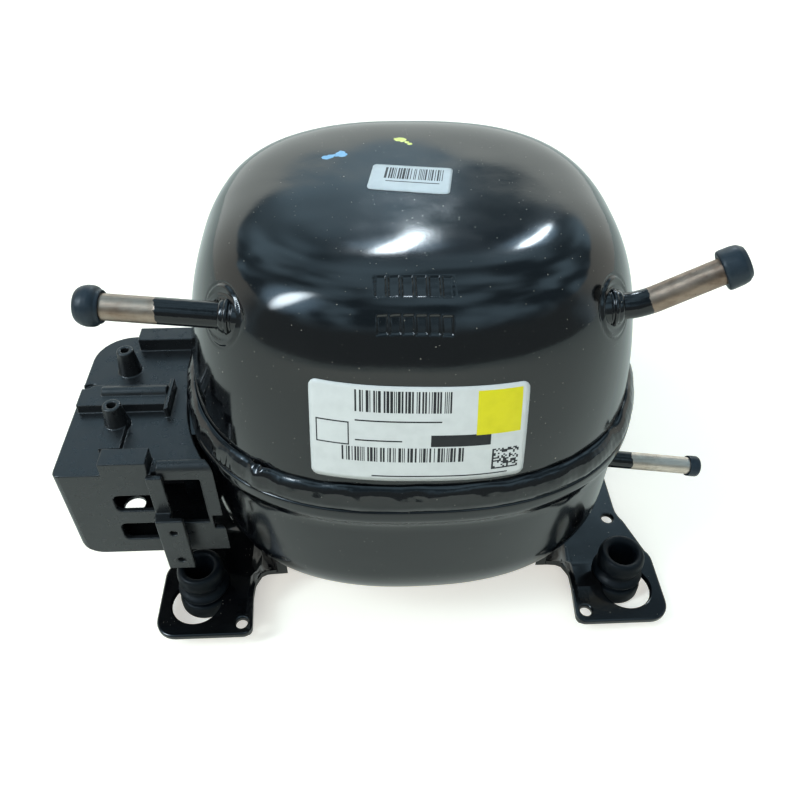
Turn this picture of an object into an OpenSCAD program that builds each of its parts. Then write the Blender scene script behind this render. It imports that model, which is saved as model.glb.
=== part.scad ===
// Hermetic reciprocating compressor with a Scotch yoke pump.
// The origin is the centre of the four grommets on the plane they stand on, +Z is up,
// the long side of the shell runs along X and its front faces -Y.

/* [Shell] */

// Half length of the upper shell at its open end
shell_a = 78.4; // [78:0.1:78.6]
// Half depth of the upper shell at its open end
shell_b = 74.2; // [73.8:0.1:74.4]
// Height of the top of the upper shell
shell_top = 154.5; // [152:0.5:158]
// Thickness of the shell steel
wall = 3; // [2.6:0.1:3]

/* [Base] */

// Spacing of the base bolts along X
bolt_x = 165.1; // [164:0.1:166]
// Spacing of the base bolts along Y
bolt_y = 101.6; // [101:0.1:102]
// Bore of a rubber grommet
grommet_bore = 10.2; // [9.6:0.1:11]
// Height of a rubber grommet
grommet_h = 22; // [20:0.5:23]

/* [Tubes] */

// Outside diameter of the suction and process tubes
big_tube_d = 8; // [7.8:0.1:8]
// Outside diameter of the discharge tube
small_tube_d = 6.4; // [6:0.1:6.4]
// Wall thickness of the tubes
tube_wall = 0.8; // [0.6:0.1:1]

/* [Pump] */

// Bore of the cylinder
bore_d = 20; // [20:0.1:20.2]
// Stroke of the piston
stroke = 14; // [13:0.5:14]
// Diameter of the crank pin
pin_d = 10; // [9.5:0.1:10]

/* [Motor] */

// Outside diameter of the rotor
rotor_d = 56; // [55.5:0.1:56]
// Radial gap between rotor and stator
air_gap = 0.3; // [0.3:0.05:0.5]

/* [Hidden] */

// Shell form: a superellipse in plan, drawn in to a soft dome above dome_z.
plan_n = 2.5;
dome_m = 8;
dome_z = 69;
seam_z = 80;
seg = 64;
low_z = 48;
low_r = 30;
low_a = shell_a + 1;
low_b = shell_b + 1;
plate_z = 7;
plate_t = 2.5;
mount_x = bolt_x / 2;
mount_y = bolt_y / 2;
tube_r = big_tube_d / 2;
thin_r = small_tube_d / 2;
tube_y = -43;
tube_z = 135.8;
stub_y = -36;
stub_z = 60.4;
stub_x = 73.5;
stub_tilt = 9.6;
suction_lean = [0, -87.5, -5.4];
suction_end = -1.5;
process_end_z = 2;
bend_r = 26;
bend_a = 24;
box_z = 78.5;
box_low = 36;
term_y = -12;
term_z = 58;
crank_r = stroke / 2;
pin_r = pin_d / 2;
yoke_z = 119.8;
face_x = 44;
stack_z0 = 48;
stack_z1 = 84;
rotor_r = rotor_d / 2;
stator_r = rotor_r + air_gap;
stud_xy = 39;
slots = 24;
black = [0.03, 0.03, 0.035];
steel = [0.6, 0.61, 0.63];
iron = [0.36, 0.36, 0.38];
nickel = [0.66, 0.6, 0.54];
rubber = [0.16, 0.19, 0.22];
copper = [0.72, 0.42, 0.26];
plastic = [0.06, 0.065, 0.075];
paper = [0.95, 0.95, 0.94];
linen = [0.85, 0.82, 0.72];

function spow(v, e) = sign(v) * pow(abs(v), e);
function plan_pt(a, b, t) = [a * spow(cos(t), 2 / plan_n), b * spow(sin(t), 2 / plan_n)];
function plan_x(a, b, y) = a * pow(max(0, 1 - pow(abs(y) / b, plan_n)), 1 / plan_n);
function dome_k(z) = pow(1 - pow(max(0, (z - dome_z) / (shell_top - dome_z)), 2), 1 / dome_m);
function arc(c, r, a0, a1, n) = [for (i = [0:n]) let (t = a0 + (a1 - a0) * i / n)
    [c[0] + r * cos(t), c[1] + r * sin(t)]];
function ring_pts(r) = [for (i = [0:seg - 1]) let (p = plan_pt(r[0], r[1], 360 * i / seg))
    [p[0], p[1], r[2]]];

// A closed skin through plan rings, from one pole to the other.
module pole_loft(z0, rings, z1) {
    n = len(rings);
    points = concat([[0, 0, z0]], [for (r = rings) for (p = ring_pts(r)) p], [[0, 0, z1]]);
    start = [for (i = [0:seg - 1]) [0, 1 + (i + 1) % seg, 1 + i]];
    upper = [for (j = [0:n - 2]) for (i = [0:seg - 1])
        [1 + j * seg + i, 1 + j * seg + (i + 1) % seg, 1 + (j + 1) * seg + (i + 1) % seg]];
    lower = [for (j = [0:n - 2]) for (i = [0:seg - 1])
        [1 + j * seg + i, 1 + (j + 1) * seg + (i + 1) % seg, 1 + (j + 1) * seg + i]];
    end = [for (i = [0:seg - 1])
        [1 + n * seg, 1 + (n - 1) * seg + i, 1 + (n - 1) * seg + (i + 1) % seg]];
    polyhedron(points = points, faces = concat(start, upper, lower, end));
}

// A closed band round the shell whose section is a list of rings.
module band_loft(rings) {
    n = len(rings);
    points = [for (r = rings) for (p = ring_pts(r)) p];
    upper = [for (j = [0:n - 1]) for (i = [0:seg - 1])
        [j * seg + i, j * seg + (i + 1) % seg, ((j + 1) % n) * seg + (i + 1) % seg]];
    lower = [for (j = [0:n - 1]) for (i = [0:seg - 1])
        [j * seg + i, ((j + 1) % n) * seg + (i + 1) % seg, ((j + 1) % n) * seg + i]];
    polyhedron(points = points, faces = concat(upper, lower));
}

// A thin sheet whose face and back are grids of points.
module sheet(face, back) {
    n = len(face);
    m = len(face[0]);
    points = concat([for (r = face) for (p = r) p], [for (r = back) for (p = r) p]);
    b = n * m;
    fronts = [for (j = [0:n - 2]) for (i = [0:m - 2]) for (k = [0, 1])
        k == 0 ? [j * m + i, j * m + i + 1, (j + 1) * m + i + 1]
               : [j * m + i, (j + 1) * m + i + 1, (j + 1) * m + i]];
    backs = [for (f = fronts) [f[2] + b, f[1] + b, f[0] + b]];
    left = [for (j = [0:n - 2]) [j * m, (j + 1) * m, (j + 1) * m + b, j * m + b]];
    right = [for (j = [0:n - 2])
        [(j + 1) * m + m - 1, j * m + m - 1, j * m + m - 1 + b, (j + 1) * m + m - 1 + b]];
    first = [for (i = [0:m - 2]) [i + 1, i, i + b, i + 1 + b]];
    last = [for (i = [0:m - 2])
        [(n - 1) * m + i, (n - 1) * m + i + 1, (n - 1) * m + i + 1 + b, (n - 1) * m + i + b]];
    polyhedron(points = points, faces = concat(fronts, backs, left, right, first, last));
}

// A round wire wound into a coil about Z.
module coil(r, wire, z0, z1, turns) {
    steps = turns * 20;
    sides = 6;
    rise = z1 - z0 - 2 * wire;
    points = [for (i = [0:steps]) let (t = 360 * turns * i / steps, z = z0 + wire + rise * i / steps)
        for (k = [0:sides - 1]) let (q = 360 * k / sides, d = r + wire * cos(q))
            [d * cos(t), d * sin(t), z + wire * sin(q)]];
    skin = [for (i = [0:steps - 1]) for (k = [0:sides - 1]) for (h = [0, 1])
        h == 0 ? [i * sides + k, i * sides + (k + 1) % sides, (i + 1) * sides + (k + 1) % sides]
               : [i * sides + k, (i + 1) * sides + (k + 1) % sides, (i + 1) * sides + k]];
    tail = [for (k = [0:sides - 1]) steps * sides + k];
    polyhedron(points = points, faces = concat(skin, [[5, 4, 3, 2, 1, 0]], [tail]));
}

module along_x(x, y, z) {
    translate([x, y, z]) rotate([0, 90, 0]) children();
}

module four(x, y) {
    for (i = [-1, 1]) for (j = [-1, 1]) translate([i * x, j * y, 0]) children();
}

module hex(w, h) {
    cylinder(r = w / sqrt(3), h = h, $fn = 6);
}

// Shell

module upper_shell() {
    outer = [for (t = [89.6, 86, 80, 72, 63, 54, 45, 36, 28, 20, 13])
        let (k = pow(cos(t), 2 / dome_m))
            [shell_a * k, shell_b * k, dome_z + (shell_top - dome_z) * sin(t)]];
    rise = shell_top - wall - dome_z;
    inner = [for (t = [13, 20, 28, 36, 45, 54, 63, 72, 80, 86, 89.6])
        let (k = pow(cos(t), 2 / dome_m))
            [(shell_a - wall) * k, (shell_b - wall) * k, dome_z + rise * sin(t)]];
    foot = dome_k(seam_z);
    edge = [[shell_a * foot, shell_b * foot, seam_z],
            [(shell_a - wall) * foot, (shell_b - wall) * foot, seam_z]];
    color(black) difference() {
        pole_loft(shell_top, concat(outer, edge, inner), shell_top - wall);
        suction_at() collar_hole(suction_end);
        process_frame() collar_hole(process_end_z);
    }
}

// The hole for a tube, wider up to height end for the collar round the tube.
module collar_hole(end) {
    translate([0, 0, -18]) cylinder(r = 5.85, h = end + 18.05);
    translate([0, 0, -18]) cylinder(r = tube_r + 0.05, h = 36);
}

function low_ring(t, d) = [low_a - 0.9 - (low_r - (low_r - d) * cos(t)),
    low_b - 0.9 - (low_r - (low_r - d) * cos(t)), low_z - (low_r - d) * sin(t)];

function low_outer() = concat(
    [[shell_a + 3.1, shell_b + 3.1, 84], [shell_a + 3.1, shell_b + 3.1, 79.6],
     [low_a + 0.1, low_b + 0.1, 75.5], [low_a - 0.9, low_b - 0.9, low_z]],
    [for (t = [12, 24, 36, 48, 60, 72, 84]) low_ring(t, 0)],
    [[25, 22, 16.4]]);

module lower_shell() {
    inner = concat([[24, 21, 19.4]], [for (t = [84, 72, 60, 48, 36, 24, 12]) low_ring(t, wall)],
        [[low_a - 0.9 - wall, low_b - 0.9 - wall, low_z], [low_a - wall, low_b - wall, 75.5],
         [low_a - wall, low_b - wall, 79.8], [shell_a + 0.1, shell_b + 0.1, 79.8],
         [shell_a + 0.1, shell_b + 0.1, 84]]);
    color(black) difference() {
        pole_loft(19, concat(inner, low_outer()), 16);
        along_x(-90, term_y, term_z) cylinder(r = 15.4, h = 24);
        translate([stub_x, stub_y, stub_z]) rotate([0, 90 + stub_tilt, 0])
            translate([0, 0, -14]) cylinder(r = thin_r + 0.04, h = 24);
    }
}

module low_solid() {
    pole_loft(84.1, low_outer(), 16);
}

module seam_weld() {
    section = [[0.7, 93], [1.9, 91.4], [3.0, 89.2], [3.5, 86.8], [3.1, 84.05], [0.05, 84.05],
               [0.05, 88.5], [0.05, 93.2]];
    color(black) band_loft([for (s = section)
        [shell_a * dome_k(s[1]) + s[0], shell_b * dome_k(s[1]) + s[0], s[1]]]);
}

function label_pt(u, v, d) = let (
    x = (-32.6 + 62.6 * u) * (1 - v) + (-33.6 + 64.4 * u) * v,
    z = (129.6 - 1.9 * u) * (1 - v) + (95.6 - 1.6 * u) * v,
    k = dome_k(z))
    [x, -shell_b * k * pow(1 - pow(abs(x) / (shell_a * k), plan_n), 1 / plan_n) - d, z];

module rating_label() {
    grids = [for (d = [0.22, 0.05]) [for (j = [0:6]) [for (i = [0:12]) label_pt(i / 12, j / 6, d)]]];
    color(paper) sheet(grids[0], grids[1]);
}

module top_label() {
    color(paper) translate([-0.7, 2.2, shell_top + 0.05]) rotate([0, 0, -9])
        translate([-13.1, -8.6, 0]) cube([26.2, 17.2, 0.2]);
}

// Base

function foot_edge() = concat(arc([65.5, -70], 3.5, 180, 270, 6), arc([90.5, -65.5], 8, 270, 360, 8),
    arc([90.5, -46.5], 8, 0, 38, 5), arc([101.5, -19], 12, 215, 180, 5));
function lip_edge() = concat([[62.6, -58], [61.6, -54], [59.6, -50]],
    [for (y = [-46:4:46]) [plan_x(66.5, 62.5, y), y]], [[59.6, 50], [61.6, 54], [62.6, 58]]);
function lip_ring() = concat([for (y = [-48:4:48]) [plan_x(69, 65, y), y]],
    [for (y = [48:-4:-48]) [plan_x(66.5, 62.5, y), y]]);

module bracket() {
    edge = foot_edge();
    back = [for (i = [len(edge) - 1:-1:0]) [edge[i][0], -edge[i][1]]];
    lip = lip_edge();
    inside = [for (i = [len(lip) - 1:-1:0]) lip[i]];
    difference() {
        union() {
            translate([0, 0, plate_z]) linear_extrude(plate_t) polygon(concat(edge, back, inside));
            translate([0, 0, plate_z]) linear_extrude(22) polygon(lip_ring());
            for (j = [-1, 1]) translate([97.2, j * 56 - 9.5, plate_z - 4]) cube([1.3, 19, 4.1]);
        }
        low_solid();
        for (j = [-1, 1]) {
            translate([mount_x, j * mount_y, 0]) cylinder(r = 7.6, h = 20);
            translate([84.4, j * 58.6, 0]) cylinder(r = 9.5, h = 20);
            translate([85.2, j * 24.5, 0]) cylinder(r = 2.3, h = 20);
            translate([66.2, j * 68.5, 0]) cylinder(r = 2.2, h = 20);
            translate([57, j * 36, 16.5]) rotate([0, 0, j * 42]) translate([0, -5, -1.5])
                cube([12, 10, 3]);
        }
    }
}

module base_bracket_left() {
    color(black) mirror([1, 0, 0]) bracket();
}

module base_bracket_right() {
    color(black) bracket();
}

module grommets() {
    b = grommet_bore / 2;
    h = grommet_h;
    color(rubber) four(mount_x, mount_y) rotate_extrude() polygon([[b, 0], [11.3, 0], [12, 0.8],
        [12, 4.4], [11, 6.2], [10, 6.9], [7.4, 6.9], [7.4, 9.6], [9.4, 9.6], [10, 10.6], [8.7, 13],
        [8.3, 15.5], [8.5, h - 4], [8.7, h - 1.6], [8.1, h - 0.2], [7.4, h], [b + 0.6, h],
        [b, h - 0.6]]);
}

// Tubes

module pipe(r, h) {
    difference() {
        cylinder(r = r, h = h);
        translate([0, 0, -1]) cylinder(r = r - tube_wall, h = h + 2);
    }
}

// The bent path of the process tube, with e more length at each end.
module bent_path(r, bent_r, e) {
    translate([0, 0, -15 - e]) cylinder(r = r, h = 17.5 + e);
    translate([-bend_r, 0, 2]) {
        rotate([90, 0, 0]) rotate_extrude(angle = bend_a) translate([bend_r, 0])
            circle(r = bent_r);
        rotate([0, -bend_a, 0]) translate([bend_r, 0, -0.5]) cylinder(r = r, h = 24.5 + e);
    }
}

// A collar from height start to height end, with ring steps near its outer end.
module collar(start, end) {
    rotate_extrude() polygon([[tube_r + 0.05, start], [5.8, start], [5.8, end - 3.4],
        [5.3, end - 3.2], [5.3, end - 2.7], [5.8, end - 2.5], [5.8, end - 1.5], [5.2, end - 1.3],
        [5.2, end - 0.8], [4.8, end], [tube_r + 0.05, end]]);
}

module suction_at() {
    translate([-60, tube_y, tube_z]) rotate(suction_lean) children();
}

module suction_tube() {
    color(nickel) suction_at() translate([0, 0, -15]) pipe(tube_r, 53);
}

module suction_collar() {
    color(black) suction_at() collar(-13, suction_end);
}

module process_frame() {
    translate([58, tube_y, tube_z]) rotate([0, 86, 0]) children();
}

module process_tube() {
    color(nickel) process_frame() difference() {
        bent_path(tube_r, tube_r + 0.02, 0);
        bent_path(tube_r - tube_wall, tube_r - tube_wall - 0.02, 1);
    }
}

module process_collar() {
    color(black) process_frame() collar(-12, process_end_z);
}

module process_end() {
    process_frame() translate([-bend_r, 0, 2]) rotate([0, -bend_a, 0]) translate([bend_r, 0, 24])
        children();
}

module stub_at() {
    translate([stub_x, stub_y, stub_z]) rotate([0, 90 + stub_tilt, 0]) children();
}

module discharge_tube() {
    color(nickel) stub_at() translate([0, 0, -12]) pipe(thin_r, 45.6);
}

module cap(r, wide, deep) {
    rotate_extrude() polygon([[0, 0.15], [r + 0.03, 0.15], [r + 0.03, -deep], [r + 1, -deep],
        [r + 1.3, -deep + 0.9], [wide - 0.3, -deep + 1.5], [wide, -deep + 3], [wide - 0.1, 0.3],
        [wide - 0.9, 2.1], [wide - 1.6, 2.5], [0, 2.5]]);
}

module suction_cap() {
    color(rubber) suction_at() translate([0, 0, 38]) cap(tube_r, 6.1, 5.2);
}

module process_cap() {
    color(rubber) process_end() cap(tube_r, 6.1, 5.2);
}

module discharge_cap() {
    color(rubber) stub_at() translate([0, 0, 33.6]) rotate_extrude() polygon([[0, 0.15],
        [thin_r + 0.03, 0.15], [thin_r + 0.03, -3], [thin_r + 0.8, -3], [thin_r + 0.8, 0.7],
        [thin_r + 0.3, 1.2], [0, 1.2]]);
}

// Terminal and its electrical box

module pin_places() {
    for (a = [90, 210, 330]) translate([0, term_y + 6.5 * cos(a), term_z + 6.5 * sin(a)])
        rotate([0, 90, 0]) children();
}

module terminal_body() {
    color(steel) difference() {
        along_x(-80.6, term_y, term_z) difference() {
            cylinder(r = 15.3, h = 7.2);
            translate([0, 0, -1]) cylinder(r = 12.8, h = 5.6);
        }
        pin_places() translate([0, 0, -90]) cylinder(r = 3, h = 20);
    }
}

module terminal_glass() {
    color([0.1, 0.25, 0.2]) pin_places() translate([0, 0, -76.6]) difference() {
        cylinder(r = 2.97, h = 3.8);
        translate([0, 0, -1]) cylinder(r = 1.27, h = 6);
    }
}

module terminal_pins() {
    color(steel) pin_places() translate([0, 0, -93]) cylinder(r = 1.25, h = 27);
}

module terminal_fence() {
    color(black) difference() {
        translate([-86, term_y - 21, term_z - 19]) cube([14, 42, 37]);
        translate([-90, term_y - 19.5, term_z - 17.5]) cube([20, 39, 34]);
        low_solid();
    }
}

module start_relay() {
    color(plastic) difference() {
        union() {
            translate([-112, term_y - 15, 43]) cube([24.5, 30, 17]);
            translate([-114, term_y - 9, 46]) cube([2.1, 18, 9]);
        }
        pin_places() translate([0, 0, -94]) cylinder(r = 1.35, h = 10);
    }
}

module overload_protector() {
    color(plastic) difference() {
        along_x(-103, term_y, 68.2) union() {
            cylinder(r = 6.6, h = 3);
            translate([0, 0, 2.9]) cylinder(r = 7.6, h = 12.6);
        }
        pin_places() translate([0, 0, -94]) cylinder(r = 1.35, h = 10);
    }
}

module overload_clip() {
    color(steel) translate([0, term_y - 3, 0]) difference() {
        translate([-104.4, 0, 60.3]) cube([16.4, 6, 16.1]);
        translate([-103.4, -1, 60.2]) cube([20, 8, 15.7]);
        translate([-110, -1, 60.2]) cube([5.7, 8, 4]);
    }
}

module box_outline() {
    edge = [for (y = [20, 14, 8, 2, -4, -10, -16, -22, -28, -34, -40, -46, -50, -53.5])
        [-plan_x(82.7, 78.5, y), y]];
    polygon(concat(edge, [[-110, -53.5]], arc([-119, -51], 2.5, 270, 180, 4),
        arc([-107.5, 6], 14, 180, 90, 8)));
}

module box_inside(g) {
    polygon(concat([[-60, 20 - g], [-60, -53.5 + g], [-110, -53.5 + g]],
        arc([-119, -51], 2.5 - g, 270, 180, 4), arc([-107.5, 6], 14 - g, 180, 90, 8)));
}

module box_section(g) {
    rotate([90, 0, 0]) translate([0, 0, -60]) linear_extrude(140)
        polygon(concat([[-60, box_z - g], [-121.5 + g, box_z - g]],
            arc([-113.5, box_low + 8], 8 - g, 180, 270, 8), [[-60, box_low + g]]));
}

// The raised, rounded edge over the window, with a slope behind it.
module box_shoulder() {
    intersection() {
        translate([0, 0, box_low]) linear_extrude(60) box_outline();
        union() {
            along_x(-87, -50.5, box_z) cylinder(r = 3, h = 22);
            translate([-87, 0, 0]) rotate([90, 0, 90]) linear_extrude(22)
                polygon([[-50.5, box_z - 1], [-38, box_z - 1], [-38, box_z], [-50.5, box_z + 3]]);
        }
    }
}

// A slot in the front of the box, round at its two left corners.
module box_slot(x, z, w, h) {
    translate([x, -56, z + 2.2]) cube([w, 6, h - 4.4]);
    translate([x + 2.2, -56, z]) cube([w - 2.2, 6, h]);
    for (up = [2.2, h - 2.2]) translate([x + 2.2, -50, z + up]) rotate([90, 0, 0])
        cylinder(r = 2.2, h = 6);
}

module terminal_box() {
    color(plastic) difference() {
        union() {
            intersection() {
                translate([0, 0, box_low]) linear_extrude(box_z - box_low) box_outline();
                box_section(0);
            }
            translate([-104.5, 11, box_z - 1]) cube([20.8, 7.5, 6.5]);
            translate([-106, -0.5, box_z - 1]) cylinder(r1 = 4.4, r2 = 3, h = 11);
            translate([-104.4, -30, box_z - 1]) cylinder(r1 = 4.6, r2 = 3.1, h = 11);
            translate([-108, -43, box_z - 1]) cube([7.4, 13, 3]);
            translate([-120, -23.2, box_z - 1]) cube([32.6, 10.8, 4.6]);
            along_x(-112, -16.4, box_z + 3.2) cylinder(r = 2.4, h = 23.4);
            translate([-88.5, -26.5, box_z - 1]) cube([1.6, 16, 5.4]);
            translate([-105.3, -53.5, box_z - 1]) cube([15.8, 7.5, 6.2]);
            box_shoulder();
        }
        intersection() {
            translate([0, 0, box_low + 2]) linear_extrude(box_z - box_low - 4) box_inside(2);
            box_section(2);
        }
        translate([-106, -0.5, box_z + 1]) cylinder(r = 1.4, h = 12);
        translate([-104.4, -30, box_z + 1]) cylinder(r = 1.5, h = 12);
        translate([-118.8, -11, box_z - 1]) cylinder(r = 3.2, h = 6);
        box_slot(-104, 59.4, 15.6, 8.3);
        box_slot(-104.7, 43.6, 16.3, 9);
        translate([-107, -32.4, box_low - 1]) cylinder(r = 4, h = 4);
        translate([-86, -60, 52]) cube([12.6, 10, 23]);
        translate([-88.6, -60, 33]) cube([1.6, 8, 50]);
        translate([-72, -60, 48.5]) cube([8, 10, 7]);
        translate([-83, 16, 34]) cube([10, 10, 60]);
    }
}

module cord_clamp() {
    color(plastic) difference() {
        union() {
            translate([-90.4, -55.6, 60.4]) cube([5.4, 2, 18]);
            translate([-90.4, -57.7, 58.6]) cube([5.4, 4.1, 2]);
            translate([-90, -59.7, 33.4]) cube([9.4, 2.1, 27.2]);
        }
        translate([-84.7, -56, 54.2]) rotate([90, 0, 0]) cylinder(r = 1.3, h = 6);
        translate([-84.7, -56, 38.6]) rotate([90, 0, 0]) cylinder(r = 1.3, h = 6);
    }
}

// Suspension

module spring_seats() {
    color(steel) four(stud_xy, stud_xy) {
        translate([0, 0, 22.6]) cylinder(r = 2.4, h = 1.7);
        translate([0, 0, 23.4]) cylinder(r = 6, h = 1.6);
        translate([0, 0, 24.9]) cylinder(r = 3.2, h = 6);
    }
}

module suspension_springs() {
    color(steel) four(stud_xy, stud_xy) coil(5.2, 0.9, 25.05, 42.35, 4.5);
}

module spring_studs() {
    color(steel) four(stud_xy, stud_xy) {
        translate([0, 0, 36.6]) cylinder(r = 3.2, h = 6);
        translate([0, 0, 42.4]) cylinder(r = 6, h = 1.5);
    }
}

module stator_screws() {
    color(steel) four(stud_xy, stud_xy) {
        translate([0, 0, 44]) hex(8, 3.9);
        translate([0, 0, 47.8]) cylinder(r = 2.5, h = 49);
    }
}

// Motor

module slot_cuts(w0, r0, r1, grow, z0, h) {
    for (i = [0:slots - 1]) rotate([0, 0, 360 * i / slots]) translate([r0 - grow, -w0 / 2, z0])
        cube([r1 - r0 + 2 * grow, w0, h]);
}

module stator_core() {
    color(iron) difference() {
        translate([0, 0, stack_z0]) linear_extrude(stack_z1 - stack_z0) polygon(concat(
            arc([38, 38], 14, 0, 90, 8), arc([-38, 38], 14, 90, 180, 8),
            arc([-38, -38], 14, 180, 270, 8), arc([38, -38], 14, 270, 360, 8)));
        translate([0, 0, stack_z0 - 1]) cylinder(r = stator_r, h = 40);
        slot_cuts(4.6, 30.6, 44, 0, stack_z0 - 1, 40);
        slot_cuts(1.6, 27, 31, 0, stack_z0 - 1, 40);
        four(stud_xy, stud_xy) translate([0, 0, stack_z0 - 1]) cylinder(r = 2.7, h = 40);
    }
}

module slot_liners() {
    color(linen) difference() {
        slot_cuts(4.5, 30.7, 43.95, 0, stack_z0 - 1, 38);
        slot_cuts(3.9, 31, 43.6, 0, stack_z0 - 2, 40);
    }
}

module winding(r0, r1, first, leg0, leg1) {
    for (z = [37, stack_z1 + 1.2]) translate([0, 0, z]) rotate_extrude() polygon([[r0, 2],
        [r0 + 2, 0], [r1 - 2, 0], [r1, 2], [r1, 7.8], [r1 - 2, 9.8], [r0 + 2, 9.8], [r0, 7.8]]);
    for (i = [first:2:slots - 1]) rotate([0, 0, 360 * i / slots])
        translate([leg0, -1.9, 46.5]) cube([leg1 - leg0, 3.8, 39]);
}

module main_winding() {
    color(copper) winding(39, 46, 0, 39.2, 43.5);
}

module start_winding() {
    color(copper) winding(31, 38.4, 1, 31.2, 37.8);
}

module rotor_core() {
    color(iron) difference() {
        translate([0, 0, 47]) cylinder(r = rotor_r, h = 37);
        translate([0, 0, 46]) cylinder(r = 8, h = 40);
        translate([0, 0, 68]) cylinder(r = 16, h = 20);
        for (i = [0:19]) rotate([0, 0, 18 * i]) translate([24.5, 0, 46]) cylinder(r = 1.8, h = 40);
    }
}

module rotor_cage() {
    color([0.78, 0.79, 0.8]) union() {
        for (i = [0:19]) rotate([0, 0, 18 * i]) translate([24.5, 0, 44]) cylinder(r = 1.78, h = 43);
        for (z = [42, 84.02]) translate([0, 0, z]) difference() {
            cylinder(r = 27.4, h = 4.96);
            translate([0, 0, -1]) cylinder(r = 20.5, h = 7);
        }
    }
}

module counterweight() {
    color(steel) translate([0, 0, 37.2]) difference() {
        cylinder(r = 27, h = 4.75);
        translate([0, 0, -1]) cylinder(r = 12, h = 7);
        translate([-4, -30, -1]) cube([40, 60, 7]);
    }
}

// Pump

module cylinder_block() {
    color(iron) difference() {
        union() {
            for (a = [45, -45]) rotate([0, 0, a]) translate([-57, -8, 97]) cube([114, 16, 7]);
            translate([0, 0, 97]) cylinder(r = 30, h = 7);
            translate([0, 0, 70]) cylinder(r = 14, h = 28);
            four(stud_xy, stud_xy) translate([0, 0, stack_z1 + 0.02]) cylinder(r = 6.6, h = 20);
            translate([19, -17, 103]) cube([face_x - 19, 34, 31.3]);
            translate([18, 17, 103]) cube([20, 3.5, 18]);
            translate([28, 30, 103]) cylinder(r = 11, h = 6);
        }
        translate([0, 0, 60]) cylinder(r = 8.04, h = 60);
        along_x(10, 0, yoke_z) cylinder(r = bore_d / 2, h = 60);
        four(stud_xy, stud_xy) translate([0, 0, 80]) cylinder(r = 2.55, h = 17);
        head_places() translate([0, 0, 32]) cylinder(r = 2.05, h = 13);
        along_x(36, 12.5, 112) cylinder(r = 1.9, h = 10);
    }
}

module head_places() {
    for (j = [-1, 1]) for (k = [-1, 1]) translate([0, j * 13.6, yoke_z + k * 11.2])
        rotate([0, 90, 0]) children();
}

module thrust_washer() {
    color(steel) translate([0, 0, 104.02]) difference() {
        cylinder(r = 13.5, h = 1.2);
        translate([0, 0, -1]) cylinder(r = 8.6, h = 4);
    }
}

module head_sheet(x, t) {
    difference() {
        translate([x, -17, yoke_z - 14.4]) cube([t, 34, 28.8]);
        head_places() translate([0, 0, 40]) cylinder(r = 2.2, h = 20);
    }
}

module suction_reed() {
    color(steel) difference() {
        head_sheet(face_x + 0.02, 0.2);
        translate([face_x - 1, -9.2, yoke_z - 9]) cube([3, 0.8, 15]);
        translate([face_x - 1, -1.4, yoke_z - 9]) cube([3, 0.8, 15]);
        translate([face_x - 1, -9.2, yoke_z + 5.4]) cube([3, 8.6, 0.8]);
        translate([face_x - 1, 5, yoke_z]) rotate([0, 90, 0]) cylinder(r = 2.6, h = 3);
    }
}

module valve_plate() {
    color(steel) difference() {
        head_sheet(face_x + 0.24, 3);
        along_x(face_x - 1, -5, yoke_z) cylinder(r = 2.4, h = 6);
        along_x(face_x - 1, 5, yoke_z) cylinder(r = 1.9, h = 6);
    }
}

module discharge_reed() {
    color(steel) translate([face_x + 3.26, 2.4, yoke_z - 8]) cube([0.2, 5.2, 13]);
}

module head_gasket() {
    color(linen) difference() {
        head_sheet(face_x + 3.26, 0.5);
        translate([face_x, -10, yoke_z - 11]) cube([6, 9, 22]);
        translate([face_x, 1, yoke_z - 11]) cube([6, 9, 22]);
    }
}

module cylinder_head() {
    color([0.7, 0.71, 0.72]) difference() {
        head_sheet(face_x + 3.78, 11.2);
        translate([face_x, -10, yoke_z - 11]) cube([12.5, 9, 22]);
        translate([face_x, 1, yoke_z - 11]) cube([12.5, 9, 22]);
        translate([face_x + 8.2, -20, yoke_z + 1]) rotate([-90, 0, 0]) cylinder(r = 2.6, h = 14);
        translate([face_x + 8.2, 8, yoke_z + 1]) rotate([-90, 0, 0]) cylinder(r = 2.1, h = 12);
    }
}

module head_screws() {
    color(steel) head_places() {
        translate([0, 0, 34]) cylinder(r = 2, h = 25.1);
        translate([0, 0, 59]) hex(7, 3.4);
    }
}

module suction_muffler() {
    color([0.86, 0.85, 0.8]) difference() {
        union() {
            translate([31, -34.6, 105.5]) cube([19, 15.1, 24.5]);
            translate([face_x + 8.2, -20, yoke_z + 1]) rotate([-90, 0, 0]) cylinder(r = 2.5, h = 9.5);
            translate([38, -28, 129]) cylinder(r = 3.4, h = 8);
        }
        translate([32.5, -33.1, 107]) cube([16, 12.1, 21.5]);
        translate([face_x + 8.2, -24, yoke_z + 1]) rotate([-90, 0, 0]) cylinder(r = 1.6, h = 20);
        translate([38, -28, 127]) cylinder(r = 2.2, h = 12);
    }
}

module discharge_muffler() {
    color(steel) difference() {
        union() {
            translate([28, 30, 109.02]) cylinder(r = 9.4, h = 15);
            translate([28, 30, 124]) cylinder(r1 = 9.4, r2 = 6, h = 3);
        }
        translate([28, 30, 109]) cylinder(r = 8.4, h = 14);
        translate([28, 30, 120]) cylinder(r = 1.65, h = 10);
    }
}

module discharge_loop() {
    r = 1.6;
    bends = [[28, 30, 121], [28, 30, 133], [60.5, 24, 131], [66.5, 14, 114], [66.5, -6, 92],
             [61, -26, 70], [55.4, -36, 63.5], [58.4, -36, 62.95]];
    color(copper) union() {
        for (i = [0:6]) rod(bends[i], bends[i + 1], r);
        for (i = [1:6]) translate(bends[i]) sphere(r = r + 0.15);
        stub_at() translate([0, 0, -15.4]) difference() {
            cylinder(r = 4.1, h = 8);
            translate([0, 0, 3.3]) cylinder(r = thin_r + 0.04, h = 6);
        }
    }
}

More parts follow.
